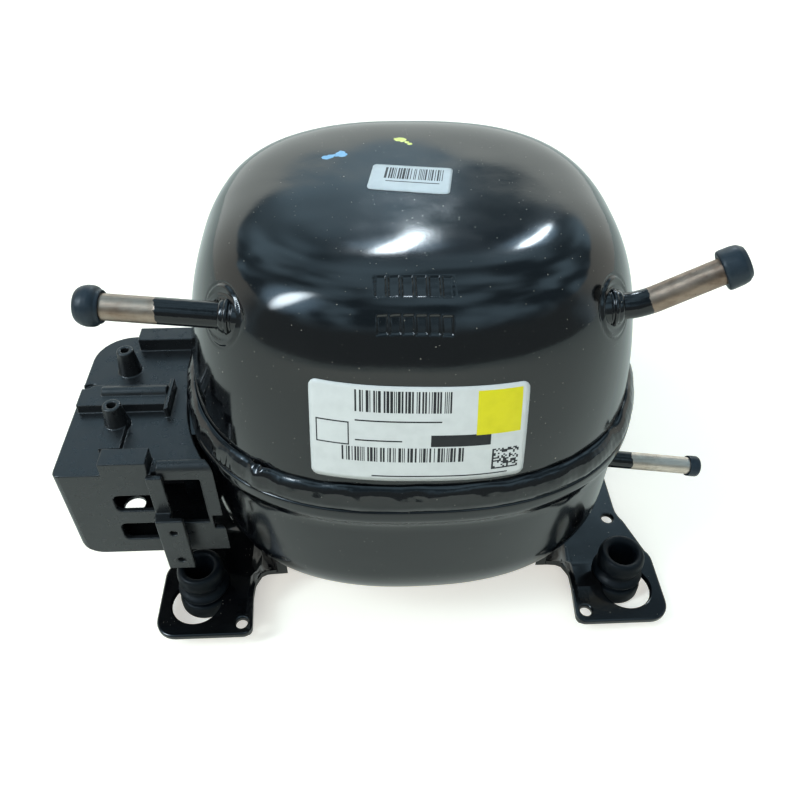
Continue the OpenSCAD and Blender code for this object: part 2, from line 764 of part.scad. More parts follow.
module rod(p, q, r) {
    d = q - p;
    h = norm(d);
    translate(p) rotate([0, acos(d[2] / h), atan2(d[1], d[0])]) cylinder(r = r, h = h);
}

module terminal_plug() {
    color(plastic) difference() {
        translate([-72.4, term_y - 11, term_z - 7]) cube([7, 22, 17.5]);
        pin_places() translate([0, 0, -74]) cylinder(r = 1.35, h = 8.4);
    }
}

module stator_leads() {
    color([0.75, 0.1, 0.08]) for (j = [-1, 0, 1]) {
        y = term_y + j * 5;
        bends = [[-64.5, y, term_z], [-60, y, term_z + 12], [-56.5, y, 90.5], [-46.1, y * 0.8, 90.5]];
        for (i = [0:2]) rod(bends[i], bends[i + 1], 0.9);
        for (i = [1, 2]) translate(bends[i]) sphere(r = 1);
    }
}

// Crank train

module crankshaft() {
    color(steel) difference() {
        union() {
            translate([0, 0, 40]) cylinder(r = 8, h = 65.3);
            translate([0, 0, 105.27]) cylinder(r = 11, h = 3.9);
            translate([crank_r, 0, 105.27]) cylinder(r = 7.2, h = 3.9);
            translate([crank_r, 0, 105.3]) cylinder(r = pin_r, h = 20.6);
        }
        translate([crank_r / 2, 0, 39]) cylinder(r = 2.6, h = 58);
        along_x(-10, 0, 76) cylinder(r = 1, h = 13);
        along_x(-10, 0, 92) cylinder(r = 1, h = 13);
    }
}

module oil_pickup() {
    color(steel) rotate_extrude() polygon([[8.02, 40], [8.02, 45.5], [9, 45.5], [9, 39.6],
        [3.4, 28], [2.4, 28], [7, 37.6], [7, 39.95], [8.02, 39.95]]);
}

module oil_metering_plug() {
    color(steel) translate([crank_r / 2, 0, 40.6]) difference() {
        cylinder(r = 2.56, h = 6);
        translate([0, 0, -1]) cylinder(r = 0.8, h = 8);
    }
}

module slider_block() {
    color([0.5, 0.5, 0.52]) difference() {
        translate([crank_r, -7.5, yoke_z]) rotate([-90, 0, 0]) cylinder(r = 7.95, h = 15);
        translate([crank_r, 0, yoke_z - 10]) cylinder(r = pin_r + 0.03, h = 20);
    }
}

module crosshead_tube() {
    reach = crank_r + pin_r + 0.4;
    color(steel) difference() {
        translate([crank_r, -17, yoke_z]) rotate([-90, 0, 0]) cylinder(r = 10, h = 34);
        translate([crank_r, -20, yoke_z]) rotate([-90, 0, 0]) cylinder(r = 8, h = 40);
        translate([crank_r - pin_r - 0.4, -reach, yoke_z - 12])
            cube([2 * pin_r + 0.8, 2 * reach, 12]);
    }
}

module piston() {
    color(steel) difference() {
        along_x(13, 0, yoke_z) cylinder(r = bore_d / 2 - 0.04, h = face_x - 0.32 - 13);
        along_x(12, 0, yoke_z) cylinder(r = 7.4, h = 26);
        translate([crank_r, -20, yoke_z]) rotate([-90, 0, 0]) cylinder(r = 10.02, h = 40);
    }
}

upper_shell();
lower_shell();
seam_weld();
base_bracket_left();
base_bracket_right();
grommets();
suction_tube();
process_tube();
discharge_tube();
suction_collar();
process_collar();
suction_cap();
process_cap();
discharge_cap();
rating_label();
top_label();
terminal_body();
terminal_glass();
terminal_pins();
terminal_fence();
start_relay();
overload_protector();
overload_clip();
terminal_box();
cord_clamp();
spring_seats();
suspension_springs();
cylinder_block();
thrust_washer();
suction_reed();
valve_plate();
discharge_reed();
head_gasket();
cylinder_head();
head_screws();
suction_muffler();
discharge_muffler();
discharge_loop();
stator_core();
slot_liners();
main_winding();
start_winding();
stator_screws();
spring_studs();
stator_leads();
terminal_plug();
crankshaft();
rotor_core();
rotor_cage();
counterweight();
oil_pickup();
oil_metering_plug();
slider_block();
crosshead_tube();
piston();
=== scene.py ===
"""Looks of the hermetic compressor: smooth pressed shells, paint, rubber, labels and a studio."""

import math
import random

import bmesh
import bpy
import numpy as np
from mathutils import Matrix, Vector, noise


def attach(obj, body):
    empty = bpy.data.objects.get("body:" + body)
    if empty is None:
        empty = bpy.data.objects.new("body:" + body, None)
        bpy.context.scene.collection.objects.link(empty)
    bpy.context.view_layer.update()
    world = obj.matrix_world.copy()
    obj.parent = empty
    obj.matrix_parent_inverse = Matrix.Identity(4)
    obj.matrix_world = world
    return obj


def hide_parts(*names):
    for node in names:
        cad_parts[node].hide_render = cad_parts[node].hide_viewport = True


MM = 0.001
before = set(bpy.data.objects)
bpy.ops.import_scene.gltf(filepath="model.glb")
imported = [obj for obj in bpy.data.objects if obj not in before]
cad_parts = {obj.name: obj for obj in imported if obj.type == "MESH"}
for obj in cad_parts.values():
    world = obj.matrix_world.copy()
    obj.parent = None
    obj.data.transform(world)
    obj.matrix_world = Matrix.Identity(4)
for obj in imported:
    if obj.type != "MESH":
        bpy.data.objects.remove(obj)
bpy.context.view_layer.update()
scene = bpy.context.scene

# The shell's form, in millimetres, as in the CAD.
PLAN = 2.5
SHELL_A, SHELL_B = 78.4, 74.2
SHELL_TOP, DOME_Z, SEAM_Z, BASE_Z = 154.5, 69.0, 80.0, 16.0
WALL = 3.0
TUBE_R, THIN_R, TUBE_WALL = 4.0, 3.2, 0.8
SUCTION_L, STUB_L = 38, 33.6
# The process tube bends BEND_Z along its axis, by BEND_A degrees, and then runs BEND_L straight.
BEND_Z, BEND_R, BEND_A, BEND_L = 2.0, 26.0, 24.0, 24.0
BOLT_X, BOLT_Y = 82.55, 50.8


# ---------------------------------------------------------------- camera and studio

def turned(x, y, z):
    """OpenSCAD's rotate([x, y, z]) as a matrix."""
    return (
        Matrix.Rotation(math.radians(z), 4, "Z")
        @ Matrix.Rotation(math.radians(y), 4, "Y")
        @ Matrix.Rotation(math.radians(x), 4, "X")
    )


def placed(x, y, z, turn=(0, 0, 0)):
    return Matrix.Translation((x, y, z)) @ turned(*turn)


def make_camera():
    azimuth, elevation, roll = (math.radians(v) for v in (-3.21, 43.43, 0.80))
    distance, target = 310.87, Vector((-3.22, 0, 59.02))
    back = Vector((
        math.sin(azimuth) * math.cos(elevation),
        -math.cos(azimuth) * math.cos(elevation),
        math.sin(elevation),
    ))
    right = Vector((math.cos(azimuth), math.sin(azimuth), 0))
    up = back.cross(right)
    side = right * math.cos(roll) + up * math.sin(roll)
    top = up * math.cos(roll) - right * math.sin(roll)
    data = bpy.data.cameras.new("camera")
    data.sensor_width = 36
    data.lens = 34.65
    data.clip_start, data.clip_end = 0.01, 20
    cam = bpy.data.objects.new("camera", data)
    scene.collection.objects.link(cam)
    spin = Matrix((side, top, back)).transposed().to_4x4()
    cam.matrix_world = Matrix.Translation((target + back * distance) * MM) @ spin
    scene.camera = cam


make_camera()


# ---------------------------------------------------------------- materials

class Nodes:
    """Adds nodes to a shader tree. A value is a number, a colour or another node's output."""

    def __init__(self, tree):
        self.tree = tree

    def put(self, node, key, value):
        socket = node.inputs[key]
        if isinstance(value, bpy.types.NodeSocket):
            self.tree.links.new(value, socket)
        else:
            socket.default_value = (*value, 1) if socket.type == "RGBA" else value

    def add(self, kind, inputs=(), **settings):
        node = self.tree.nodes.new(kind)
        for key, value in settings.items():
            setattr(node, key, value)
        for key, value in dict(inputs).items():
            self.put(node, key, value)
        return node

    def ramp(self, value, low, high, out_low=0.0, out_high=1.0, **settings):
        ends = {"From Min": low, "From Max": high, "To Min": out_low, "To Max": out_high}
        return self.add("ShaderNodeMapRange", {"Value": value, **ends}, **settings).outputs[0]

    def math(self, operation, a, b=0.0, clamp=False):
        return self.add("ShaderNodeMath", {0: a, 1: b}, operation=operation, use_clamp=clamp).outputs[0]

    def mix(self, fac, a, b):
        return self.add("ShaderNodeMix", {0: fac, 6: a, 7: b}, data_type="RGBA").outputs[2]

    def dot(self, a, b):
        return self.add("ShaderNodeVectorMath", {0: a, 1: b}, operation="DOT_PRODUCT").outputs["Value"]


class Look(Nodes):
    """A node material under construction. Coordinates are the object's own, in metres."""

    def __init__(self, name, **values):
        self.mat = bpy.data.materials.new(name)
        self.mat.use_nodes = True
        super().__init__(self.mat.node_tree)
        self.bsdf = self.tree.nodes["Principled BSDF"]
        self.coords = self.add("ShaderNodeTexCoord").outputs["Object"]
        self.set(**values)

    def stretch(self, scale):
        return self.add("ShaderNodeMapping", {"Vector": self.coords, "Scale": scale}).outputs[0]

    def noise(self, size, detail, coords=None, rough=0.5):
        """Noise with features of about size millimetres."""
        return self.add(
            "ShaderNodeTexNoise",
            {"Vector": coords or self.coords, "Scale": 1000 / size, "Detail": detail,
             "Roughness": rough},
        ).outputs["Fac"]

    def uneven(self, size, detail, low, high):
        """A value that wanders from low to high, for a roughness."""
        return self.ramp(self.noise(size, detail), 0.3, 0.7, low, high)

    def specks(self, spacing, radius, share, strength=1.0):
        """Round specks: a cell each spacing mm, radius mm at most, in that share of the cells."""
        cell = self.add("ShaderNodeTexVoronoi", {"Vector": self.coords, "Scale": 1000 / spacing})
        pick = self.add("ShaderNodeSeparateColor", {"Color": cell.outputs["Color"]}).outputs
        reach = self.math("MULTIPLY", pick[0], radius / spacing)
        near = self.math("LESS_THAN", cell.outputs["Distance"], reach)
        chosen = self.math("MULTIPLY", near, self.math("LESS_THAN", pick[1], share))
        return self.math("MULTIPLY", chosen, strength)

    def up(self, low, high):
        """0 to 1 as the upward part of a face's direction goes from low to high."""
        normal = self.add("ShaderNodeNewGeometry").outputs["Normal"]
        return self.ramp(self.add("ShaderNodeSeparateXYZ", {"Vector": normal}).outputs[2], low, high)

    def bump(self, *layers):
        """Layers of (height, depth in mm)."""
        normal = None
        for height, depth in layers:
            node = self.add("ShaderNodeBump", {"Height": height, "Distance": depth * MM})
            if normal is not None:
                self.put(node, "Normal", normal)
            normal = node.outputs[0]
        self.put(self.bsdf, "Normal", normal)

    def set(self, **values):
        for key, value in values.items():
            self.put(self.bsdf, key.replace("_", " "), value)
        return self.mat


BLACK = (0.0014, 0.0016, 0.0021)
DUST = (0.30, 0.27, 0.21)
CROWN_Z = 140  # above this is only the crown


def daubs(look, spots):
    """1 inside ragged round daubs on the crown, each an (x, y, radius) in mm."""
    x, y, z = look.add("ShaderNodeSeparateXYZ", {"Vector": look.coords}).outputs
    wobble = look.ramp(look.noise(3.2, 2), 0.2, 0.8, -0.9 * MM, 0.9 * MM)
    inside = 0.0
    for spot_x, spot_y, radius in spots:
        dx, dy = look.math("SUBTRACT", x, spot_x * MM), look.math("SUBTRACT", y, spot_y * MM)
        square = look.math("ADD", look.math("MULTIPLY", dx, dx), look.math("MULTIPLY", dy, dy))
        reach = look.math("ADD", look.math("SQRT", square), wobble)
        inside = look.math("ADD", inside, look.ramp(reach, radius * MM, (radius - 0.25) * MM), True)
    return look.math("MULTIPLY", inside, look.math("GREATER_THAN", z, CROWN_Z * MM))


def enamel(name, rough=0.08, peel=1.0, dust=1.0, lumps=0.0, marks=()):
    """Gloss black paint: orange peel, a breath of dust, pale specks, and daubs of marking paint."""
    look = Look(name, Specular_IOR_Level=0.62)
    film = look.math("MULTIPLY", look.ramp(look.noise(26, 4), 0.42, 0.75), look.up(-0.2, 1.0))
    specks = look.math(
        "ADD", look.specks(1.4, 0.19, 0.42 * dust), look.specks(4.2, 0.36, 0.16 * dust), True
    )
    haze = look.math("MULTIPLY", film, 0.010 * dust)
    colour = look.mix(look.math("ADD", haze, look.math("MULTIPLY", specks, 0.55), True), BLACK, DUST)
    grain = look.ramp(look.noise(7, 3), 0.3, 0.8, rough, rough + 0.05)
    rough_out = look.math("ADD", grain, look.math("MULTIPLY", specks, 0.35), True)
    for spots, paint in marks:
        inside = daubs(look, spots)
        colour = look.mix(inside, colour, paint)
        rough_out = look.math("ADD", rough_out, look.math("MULTIPLY", inside, 0.25), True)
    look.bump(
        (look.noise(1.1, 1), 0.0035 * peel),
        (look.noise(6.0, 2), 0.012 * peel),
        (look.noise(2.8, 3, rough=0.55), 0.16 * lumps),
    )
    return look.set(Base_Color=colour, Roughness=rough_out)


def painted_tube(name, axis, edge, plate=(0.34, 0.27, 0.215), brown=(0.22, 0.14, 0.095)):
    """Dull nickel-washed copper with drawing marks, and black paint short of a ragged edge.

    The edge is at edge mm along axis."""
    look = Look(name, Specular_IOR_Level=0.5)
    ragged = look.ramp(look.noise(2.4, 3), 0.2, 0.8, -0.7 * MM, 0.7 * MM)
    place = look.math("ADD", look.dot(look.coords, axis), ragged)
    paint = look.ramp(place, (edge + 0.12) * MM, (edge - 0.12) * MM)
    lines = look.noise(1.0, 3, look.stretch((0.06, 1, 1)))
    bright = tuple(min(c * 1.5, 0.9) for c in plate)
    bare = look.mix(look.ramp(look.noise(9, 5, rough=0.65), 0.45, 0.72, 0, 0.9), plate, brown)
    bare = look.mix(look.ramp(lines, 0.35, 0.7, 0, 0.35), bare, bright)
    bare = look.mix(look.specks(1.9, 0.22, 0.3, 0.7), bare, (0.08, 0.055, 0.04))
    shine = look.mix(paint, look.uneven(3.0, 4, 0.34, 0.52), (0.14, 0.14, 0.14))
    look.bump((lines, 0.03), (look.noise(2.2, 3), 0.07), (paint, 0.08))
    return look.set(
        Base_Color=look.mix(paint, bare, BLACK),
        Metallic=look.math("SUBTRACT", 1.0, paint),
        Roughness=shine,
    )


def rubber(name, colour, bloomed, rough, spec=0.32):
    """Moulded rubber: fine skin, bloom and a few scuffs."""
    look = Look(name, Specular_IOR_Level=spec)
    shade = look.mix(look.ramp(look.noise(5, 5, rough=0.7), 0.45, 0.8, 0, 0.28), colour, bloomed)
    shade = look.mix(look.specks(1.6, 0.16, 0.22, 0.45), shade, (0.12, 0.115, 0.105))
    look.bump((look.noise(0.5, 2), 0.012), (look.noise(3.5, 3), 0.04))
    return look.set(Base_Color=shade, Roughness=look.uneven(2.5, 3, rough - 0.08, rough + 0.1))


def moulded(name, colour, rough, grain=1.0, spec=0.5):
    """Moulded plastic with a spark-eroded grain, flow marks and dust."""
    look = Look(name, Specular_IOR_Level=spec)
    lighter = tuple(c * 1.5 + 0.003 for c in colour)
    dust = look.math("MULTIPLY", look.specks(3.4, 0.3, 0.25, 0.35), look.up(-0.4, 0.6))
    shade = look.mix(look.ramp(look.noise(24, 3), 0.35, 0.7, 0, 0.5), colour, lighter)
    shade = look.mix(dust, shade, DUST)
    look.bump((look.noise(0.42, 2), 0.016 * grain), (look.noise(12, 2), 0.05))
    return look.set(
        Base_Color=shade, Roughness=look.ramp(look.noise(3.2, 4), 0.3, 0.75, rough - 0.07, rough + 0.1)
    )


def metal(name, colour, rough, marks=(1, 1, 1), size=1.6, stain=0.35, depth=0.015):
    """Worked metal: tool marks stretched by marks, stains and fine pits."""
    look = Look(name, Metallic=1.0)
    lines = look.noise(size, 4, look.stretch(marks))
    darker = tuple(c * 0.55 for c in colour)
    shade = look.mix(look.ramp(look.noise(11, 5, rough=0.65), 0.45, 0.75, 0, stain), colour, darker)
    shade = look.mix(look.specks(2.2, 0.2, 0.2, 0.5), shade, darker)
    look.bump((lines, depth))
    return look.set(Base_Color=shade, Roughness=look.ramp(lines, 0.3, 0.7, rough - 0.06, rough + 0.1))


def windings(name, colour):
    """Varnished magnet wire lying round the stator, as ridges of single wires, with painted shade in the
    grooves between them.
    """
    look = Look(name, Metallic=0.6, Coat_Weight=0.5, Coat_Roughness=0.12)
    wires = look.add(
        "ShaderNodeTexWave",
        {"Vector": look.coords, "Scale": 420.0, "Distortion": 2.2, "Detail": 2.0, "Detail Scale": 0.8},
        bands_direction="Z",
    ).outputs["Fac"]
    # painted shade: the grooves between the wires are darkened to 0.35 of the wire's colour
    shade = look.mix(look.ramp(wires, 0.1, 0.9), tuple(c * 0.35 for c in colour), colour)
    shade = look.mix(look.ramp(look.noise(9, 3), 0.45, 0.7, 0, 0.4), shade,
                     tuple(c * 0.6 for c in colour))
    look.bump((wires, 0.25))
    return look.set(Base_Color=shade, Roughness=look.ramp(wires, 0, 1, 0.5, 0.3))


def paper(name, colour, rough=0.34):
    """Printed label stock: faint mottle, a satin surface and slight cockle."""
    look = Look(name, Specular_IOR_Level=0.45)
    tint, dirt = (tuple(c * share for c in colour) for share in (0.93, 0.4))
    shade = look.mix(look.ramp(look.noise(4, 4), 0.4, 0.7), colour, tint)
    shade = look.mix(look.specks(3.0, 0.2, 0.16, 0.4), shade, dirt)
    look.bump((look.noise(0.3, 2), 0.002), (look.noise(8, 2), 0.02))
    return look.set(Base_Color=shade, Roughness=look.uneven(2, 3, rough - 0.05, rough + 0.08))


def sealing_glass(name):
    """Green glass, a little see-through."""
    look = Look(name, Transmission_Weight=0.35, IOR=1.5)
    shade = look.mix(look.ramp(look.noise(1.2, 3), 0.3, 0.7), (0.02, 0.09, 0.06), (0.05, 0.16, 0.12))
    look.bump((look.noise(1.5, 2), 0.02))
    return look.set(Base_Color=shade, Roughness=look.uneven(2, 2, 0.08, 0.2))


# ---------------------------------------------------------------- mesh helpers

def local_noise(points, size, seed):
    shift = Vector((seed * 7.13 + 3.1, seed * 3.71 - 5.7, seed * 5.39 + 1.9))
    return np.array([noise.noise(Vector(p) / size + shift) for p in points])


def smooth_step(x, low, high):
    t = np.clip((x - low) / (high - low), 0, 1)
    return t * t * (3 - 2 * t)


def add_piece(name, points, faces, materials, body, nodes, face_slots=None):
    """A mesh piece from points in millimetres, on its body, in place of the CAD nodes."""
    mesh = bpy.data.meshes.new(name)
    mesh.from_pydata((np.asarray(points, float) * MM).tolist(), [], [list(map(int, f)) for f in faces])
    for material in materials:
        mesh.materials.append(material)
    if face_slots is not None:
        mesh.polygons.foreach_set("material_index", np.asarray(face_slots, np.int32))
    mesh.polygons.foreach_set("use_smooth", [True] * len(mesh.polygons))
    mesh.update()
    return place_piece(bpy.data.objects.new(name, mesh), body, nodes)


def place_piece(obj, body, nodes):
    scene.collection.objects.link(obj)
    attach(obj, body)
    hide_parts(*nodes)
    return obj


def grid_faces(rows, cols, wrap_rows=False, wrap_cols=True, start=0):
    """Quads over a grid of points stored row by row, facing outward for rows that rise anticlockwise."""
    last_row = rows if wrap_rows else rows - 1
    last_col = cols if wrap_cols else cols - 1
    j, i = np.meshgrid(np.arange(last_row), np.arange(last_col), indexing="ij")
    j2, i2 = (j + 1) % rows, (i + 1) % cols
    quads = np.stack([j * cols + i, j * cols + i2, j2 * cols + i2, j2 * cols + i], -1)
    return (quads.reshape(-1, 4) + start).tolist()


def sharpen(obj, angle):
    """Smooth shading that breaks at edges sharper than angle, kept in the mesh."""
    obj.data.set_sharp_from_angle(angle=math.radians(angle))


def rounded(profile, radius, steps, closed=True):
    """The profile with its corners rounded, each by radius or less where its sides are short."""
    count = len(profile)
    out = []
    for i, point in enumerate(profile):
        p = Vector(point)
        if not closed and i in (0, count - 1):
            out.append(tuple(p))
            continue
        before, after = Vector(profile[i - 1]) - p, Vector(profile[(i + 1) % count]) - p
        cut = min(radius, before.length * 0.45, after.length * 0.45)
        if cut < 0.01 or before.normalized().dot(after.normalized()) < -0.985:
            out.append(tuple(p))
            continue
        a, b = p + before.normalized() * cut, p + after.normalized() * cut
        for k in range(steps + 1):
            t = k / steps
            out.append(tuple(a * (1 - t) ** 2 + p * 2 * t * (1 - t) + b * t * t))
    return out


def lathe(profile, place, closed=True):
    """Points and faces of a turned solid from (radius, height) pairs that go round it clockwise.

    An open profile starts and ends on the axis."""
    columns = 96
    body = profile if closed else profile[1:-1]
    turn = np.arange(columns) * 2 * math.pi / columns
    points = [(r * math.cos(a), r * math.sin(a), z) for r, z in body for a in turn]
    faces = grid_faces(len(body), columns, wrap_rows=closed)
    if not closed:
        first, last = len(points), len(points) + 1
        points += [(0, 0, profile[0][1]), (0, 0, profile[-1][1])]
        base = (len(body) - 1) * columns
        faces += [(first, (i + 1) % columns, i) for i in range(columns)]
        faces += [(last, base + i, base + (i + 1) % columns) for i in range(columns)]
    return [tuple(place @ Vector(p)) for p in points], faces


def tube(path, radius, wall, place, columns):
    """An open pipe along points of the local XZ plane, with softly rounded rims."""
    path = [Vector(p) for p in path]
    last = len(path) - 1
    side = Vector((0, 1, 0))
    bore, lip = radius - wall, 0.18
    # a rim, from the outside to the bore, as (distance in from the tube's end, radius)
    rim = [(lip, radius), (lip * 0.3, radius - lip * 0.3), (0, radius - lip), (0, bore + lip),
           (lip * 0.3, bore + lip * 0.3), (lip, bore)]
    # once round the wall's section, as (point of the path, distance along from it, radius)
    loop = (
        [(0, lip, radius)]
        + [(k, 0, radius) for k in range(1, last)]
        + [(last, -inward, r) for inward, r in rim]
        + [(k, 0, bore) for k in range(last - 1, 0, -1)]
        + [(0, inward, r) for inward, r in rim[:0:-1]]
    )
    points = []
    for k, slide, r in loop:
        tangent = (path[min(k + 1, last)] - path[max(k - 1, 0)]).normalized()
        out = side.cross(tangent)
        for i in range(columns):
            a = 2 * math.pi * i / columns
            q = path[k] + tangent * slide + (out * math.cos(a) + side * math.sin(a)) * r
            points.append(tuple(place @ q))
    return points, grid_faces(len(loop), columns, wrap_rows=True)


# ---------------------------------------------------------------- shell surface

SUCTION = placed(-60, -43, 135.8, (0, -87.5, -5.4))
PROCESS = placed(58, -43, 135.8, (0, 86, 0))
STUB = placed(73.5, -36, 60.4, (0, 99.6, 0))
TERMINAL, TERMINAL_R = placed(-79, -12, 58, (0, -90, 0)), 15.35


def plan_radius(angle, a, b):
    c, s = np.abs(np.cos(angle)), np.abs(np.sin(angle))
    return ((c / a) ** PLAN + (s / b) ** PLAN) ** (-1 / PLAN)


def spread(density_points, spacing):
    """Values from the first to the last of a fine list, spaced as spacing says at each of them."""
    values, lengths = density_points
    weight = np.cumsum(np.concatenate([[0], np.diff(lengths) / spacing[1:]]))
    count = int(round(weight[-1]))
    return np.interp(np.linspace(0, weight[-1], count + 1), weight, values)


def plan_angles(coarse, windows):
    """Angles round the shell, closer together inside the windows, which are in degrees."""
    angle = np.linspace(-math.pi, math.pi, 20001)
    r = plan_radius(angle, SHELL_A, SHELL_B)
    x, y = r * np.cos(angle), r * np.sin(angle)
    length = np.concatenate([[0], np.cumsum(np.hypot(np.diff(x), np.diff(y)))])
    gap = np.full(len(angle), coarse)
    for low, high, step in windows:
        gap[(np.degrees(angle) > low) & (np.degrees(angle) < high)] = min(step, coarse)
    gap = np.convolve(np.pad(gap, 200, mode="wrap"), np.ones(401) / 401, mode="valid")
    return spread((angle, length), gap)[:-1]


def upper_scale(z):
    return (1 - np.clip((z - DOME_Z) / (SHELL_TOP - DOME_Z), 0, 1) ** 2) ** 0.125


def upper_form(p):
    """How far out in plan and how far up points are on the upper shell.

    Its smooth form is where plan ** (8 / PLAN) + up ** 2 = 1."""
    x, y, z = p.T
    plan = (np.abs(x) / SHELL_A) ** PLAN + (np.abs(y) / SHELL_B) ** PLAN
    return np.maximum(plan, 1e-12), np.clip((z - DOME_Z) / (SHELL_TOP - DOME_Z), 0, 1)


def upper_normal(p):
    """The outward direction of the upper shell's smooth form at points on it."""
    plan, t = upper_form(p)
    slope = 8 * plan ** (8 / PLAN - 1)
    x, y = p[:, 0], p[:, 1]
    n = np.stack([
        slope * np.sign(x) * np.abs(x / SHELL_A) ** (PLAN - 1) / SHELL_A,
        slope * np.sign(y) * np.abs(y / SHELL_B) ** (PLAN - 1) / SHELL_B,
        2 * t / (SHELL_TOP - DOME_Z),
    ], -1)
    return n / np.maximum(np.linalg.norm(n, axis=1, keepdims=True), 1e-12)


def swell(p):
    """Height in mm of the pressed steel's slow unevenness at points on the upper shell."""
    return 0.20 * local_noise(p, 31, 1) + 0.07 * local_noise(p, 13, 2)


# Each row of stamped cells on the crown: its upper left and lower right ends, and how steep it is.
STAMP_ROWS = (((-13.8, -49.4), (8.5, -55.7), 1.0), ((-13.5, -59.4), (7.9, -62.7), 1.5))
STAMP_CELLS, STAMP_DEPTH, STAMP_TILT = 6, 0.55, -0.028


def stamped(p):
    """Depth of the two rows of blank stamped cells at points on the upper shell."""
    depth = np.zeros(len(p))
    for (x0, y0), (x1, y1), steep in STAMP_ROWS:
        width = (x1 - x0) / STAMP_CELLS
        for k in range(STAMP_CELLS):
            cx = x0 + width * (k + 0.5)
            cy = (y0 + y1) / 2 + STAMP_TILT * (cx + 3)
            gap_x = width * 0.44 - np.abs(p[:, 0] - cx)
            gap_y = (abs(y1 - y0) / 2 - np.abs(p[:, 1] - cy)) * steep
            depth += STAMP_DEPTH * smooth_step(np.minimum(gap_x, gap_y), 0.0, 0.36)
    return np.where(p[:, 2] > CROWN_Z - 2, depth, 0)


def in_frame(p, place):
    """Points in a tube's own frame."""
    inverse = np.array(place.inverted())
    return p @ inverse[:3, :3].T + inverse[:3, 3]


def from_frame(p, place):
    matrix = np.array(place)
    return p @ matrix[:3, :3].T + matrix[:3, 3]


def axis_hit(place):
    """Where a tube's axis leaves the upper shell's smooth form."""
    h = np.linspace(-20, 20, 4001)
    p = from_frame(np.stack([0 * h, 0 * h, h], -1), place)
    plan, t = upper_form(p)
    return p[np.argmin(np.abs(plan ** (8 / PLAN) + t ** 2 - 1))]


def boss(p, place):
    """Points of the upper shell with the flat round seat that is pressed round a tube."""
    centre = axis_hit(place)
    normal = upper_normal(centre[None])[0]
    offset = p - centre
    height = offset @ normal
    flat = offset - height[:, None] * normal
    reach = np.linalg.norm(flat, axis=1)
    near = (np.linalg.norm(offset, axis=1) < 16) & (reach < 12)
    level, seat_r = -0.35, 9.3
    weight = np.where(near, 1 - smooth_step(reach, seat_r - 0.8, seat_r), 0)
    groove = np.where(near, np.exp(-(((reach - seat_r - 0.05) / 0.4) ** 2)) * 0.25, 0)
    q = in_frame(p, place)
    round_tube = np.where(near, np.hypot(q[:, 0], q[:, 1]), 99)
    fillet = 0.5 * np.exp(-(((round_tube - TUBE_R) / 0.9) ** 2))
    crease = 0.22 * np.exp(-(((round_tube - 6.7) / 0.35) ** 2))
    return p + ((level - height) * weight - groove + fillet - crease)[:, None] * normal


def drop_inside(points, faces, place, radius, margin):
    """Cuts a round hole: faces near the axis go, and the edge left is drawn onto a true circle."""
    q = in_frame(points, place)
    reach = np.hypot(q[:, 0], q[:, 1])
    inside = (reach < radius + margin) & (np.abs(q[:, 2]) < 16)
    keep, gone = [], []
    for face in faces:
        (gone if any(inside[i] for i in face) else keep).append(face)
    edge = np.array(sorted({i for f in gone for i in f} & {i for f in keep for i in f}))
    q[edge, :2] *= (radius / reach[edge])[:, None]
    points = points.copy()
    points[edge] = from_frame(q[edge], place)
    return points, keep


def drop_loose(points, faces):
    used = np.unique(np.concatenate([np.asarray(f) for f in faces]))
    renumber = np.full(len(points), -1)
    renumber[used] = np.arange(len(used))
    return points[used], [[int(renumber[i]) for i in f] for f in faces]


def plan_ring(angles, z, offset=0.0, shrink=1.0):
    """Points round the shell's plan at height z, shrunk and then offset outward."""
    r = plan_radius(angles, SHELL_A * shrink + offset, SHELL_B * shrink + offset)
    return np.column_stack([r * np.cos(angles), r * np.sin(angles), np.full(len(r), z)])


def skin(rings, tip):
    """A skin through rings of points that closes at a tip, facing outward for rings that rise."""
    cols = len(rings[0])
    points = np.concatenate(rings + [np.array([tip])])
    last = len(points) - 1
    faces = grid_faces(len(rings), cols)
    faces += [(last, last - cols + i, last - cols + (i + 1) % cols) for i in range(cols)]
    return points, faces


def add_shell(node, points, faces, material):
    """A shell piece from an open skin, which gets its sheet thickness inward."""
    points, faces = drop_loose(points, faces)
    shell = add_piece(node + "_skin", points, faces, [material], "housing", [node])
    solid = shell.modifiers.new("thickness", "SOLIDIFY")
    solid.thickness = WALL * MM
    solid.offset = -1
    solid.use_even_offset = False


def make_upper_shell(material):
    # finer over the stamped cells and the two tubes' seats
    angles = plan_angles(1.35, [(-107, -80, 0.27), (-153, -135, 0.5), (-45, -27, 0.5)])
    mean_radius = 76
    # the profile as plan scale and height, from the seam to the crown
    t = np.linspace(0, 1, 6001)
    z = SEAM_Z + (SHELL_TOP - SEAM_Z) * (1 - (1 - t) ** 3)
    k = upper_scale(z)
    length = np.concatenate([[0], np.cumsum(np.hypot(np.diff(z), np.diff(k) * mean_radius))])
    # the rings are closer over the tubes' seats and closest over the stamped cells
    gap = np.where((z > 125) & (z < 153.4), 0.5, 1.3)
    gap[(z > 140.5) & (z < 153.1)] = 0.33
    pairs = [(upper_scale(v), v) for v in spread((z, length), gap)[:-1] if upper_scale(v) > 0.42]
    for value in np.linspace(pairs[-1][0], 0.012, 26)[1:]:
        pairs.append((value, DOME_Z + (SHELL_TOP - DOME_Z) * math.sqrt(1 - value ** 8)))
    rings = [plan_ring(angles, height, shrink=scale) for scale, height in pairs]
    points, faces = skin(rings, (0, 0, SHELL_TOP))
    normal = upper_normal(points)
    normal[-1] = (0, 0, 1)
    points = points + normal * (swell(points) - stamped(points))[:, None]
    for place in (SUCTION, PROCESS):
        points = boss(points, place)
        points, faces = drop_inside(points, faces, place, TUBE_R + 0.06, 0.1)
    add_shell("upper_shell", points, faces, material)


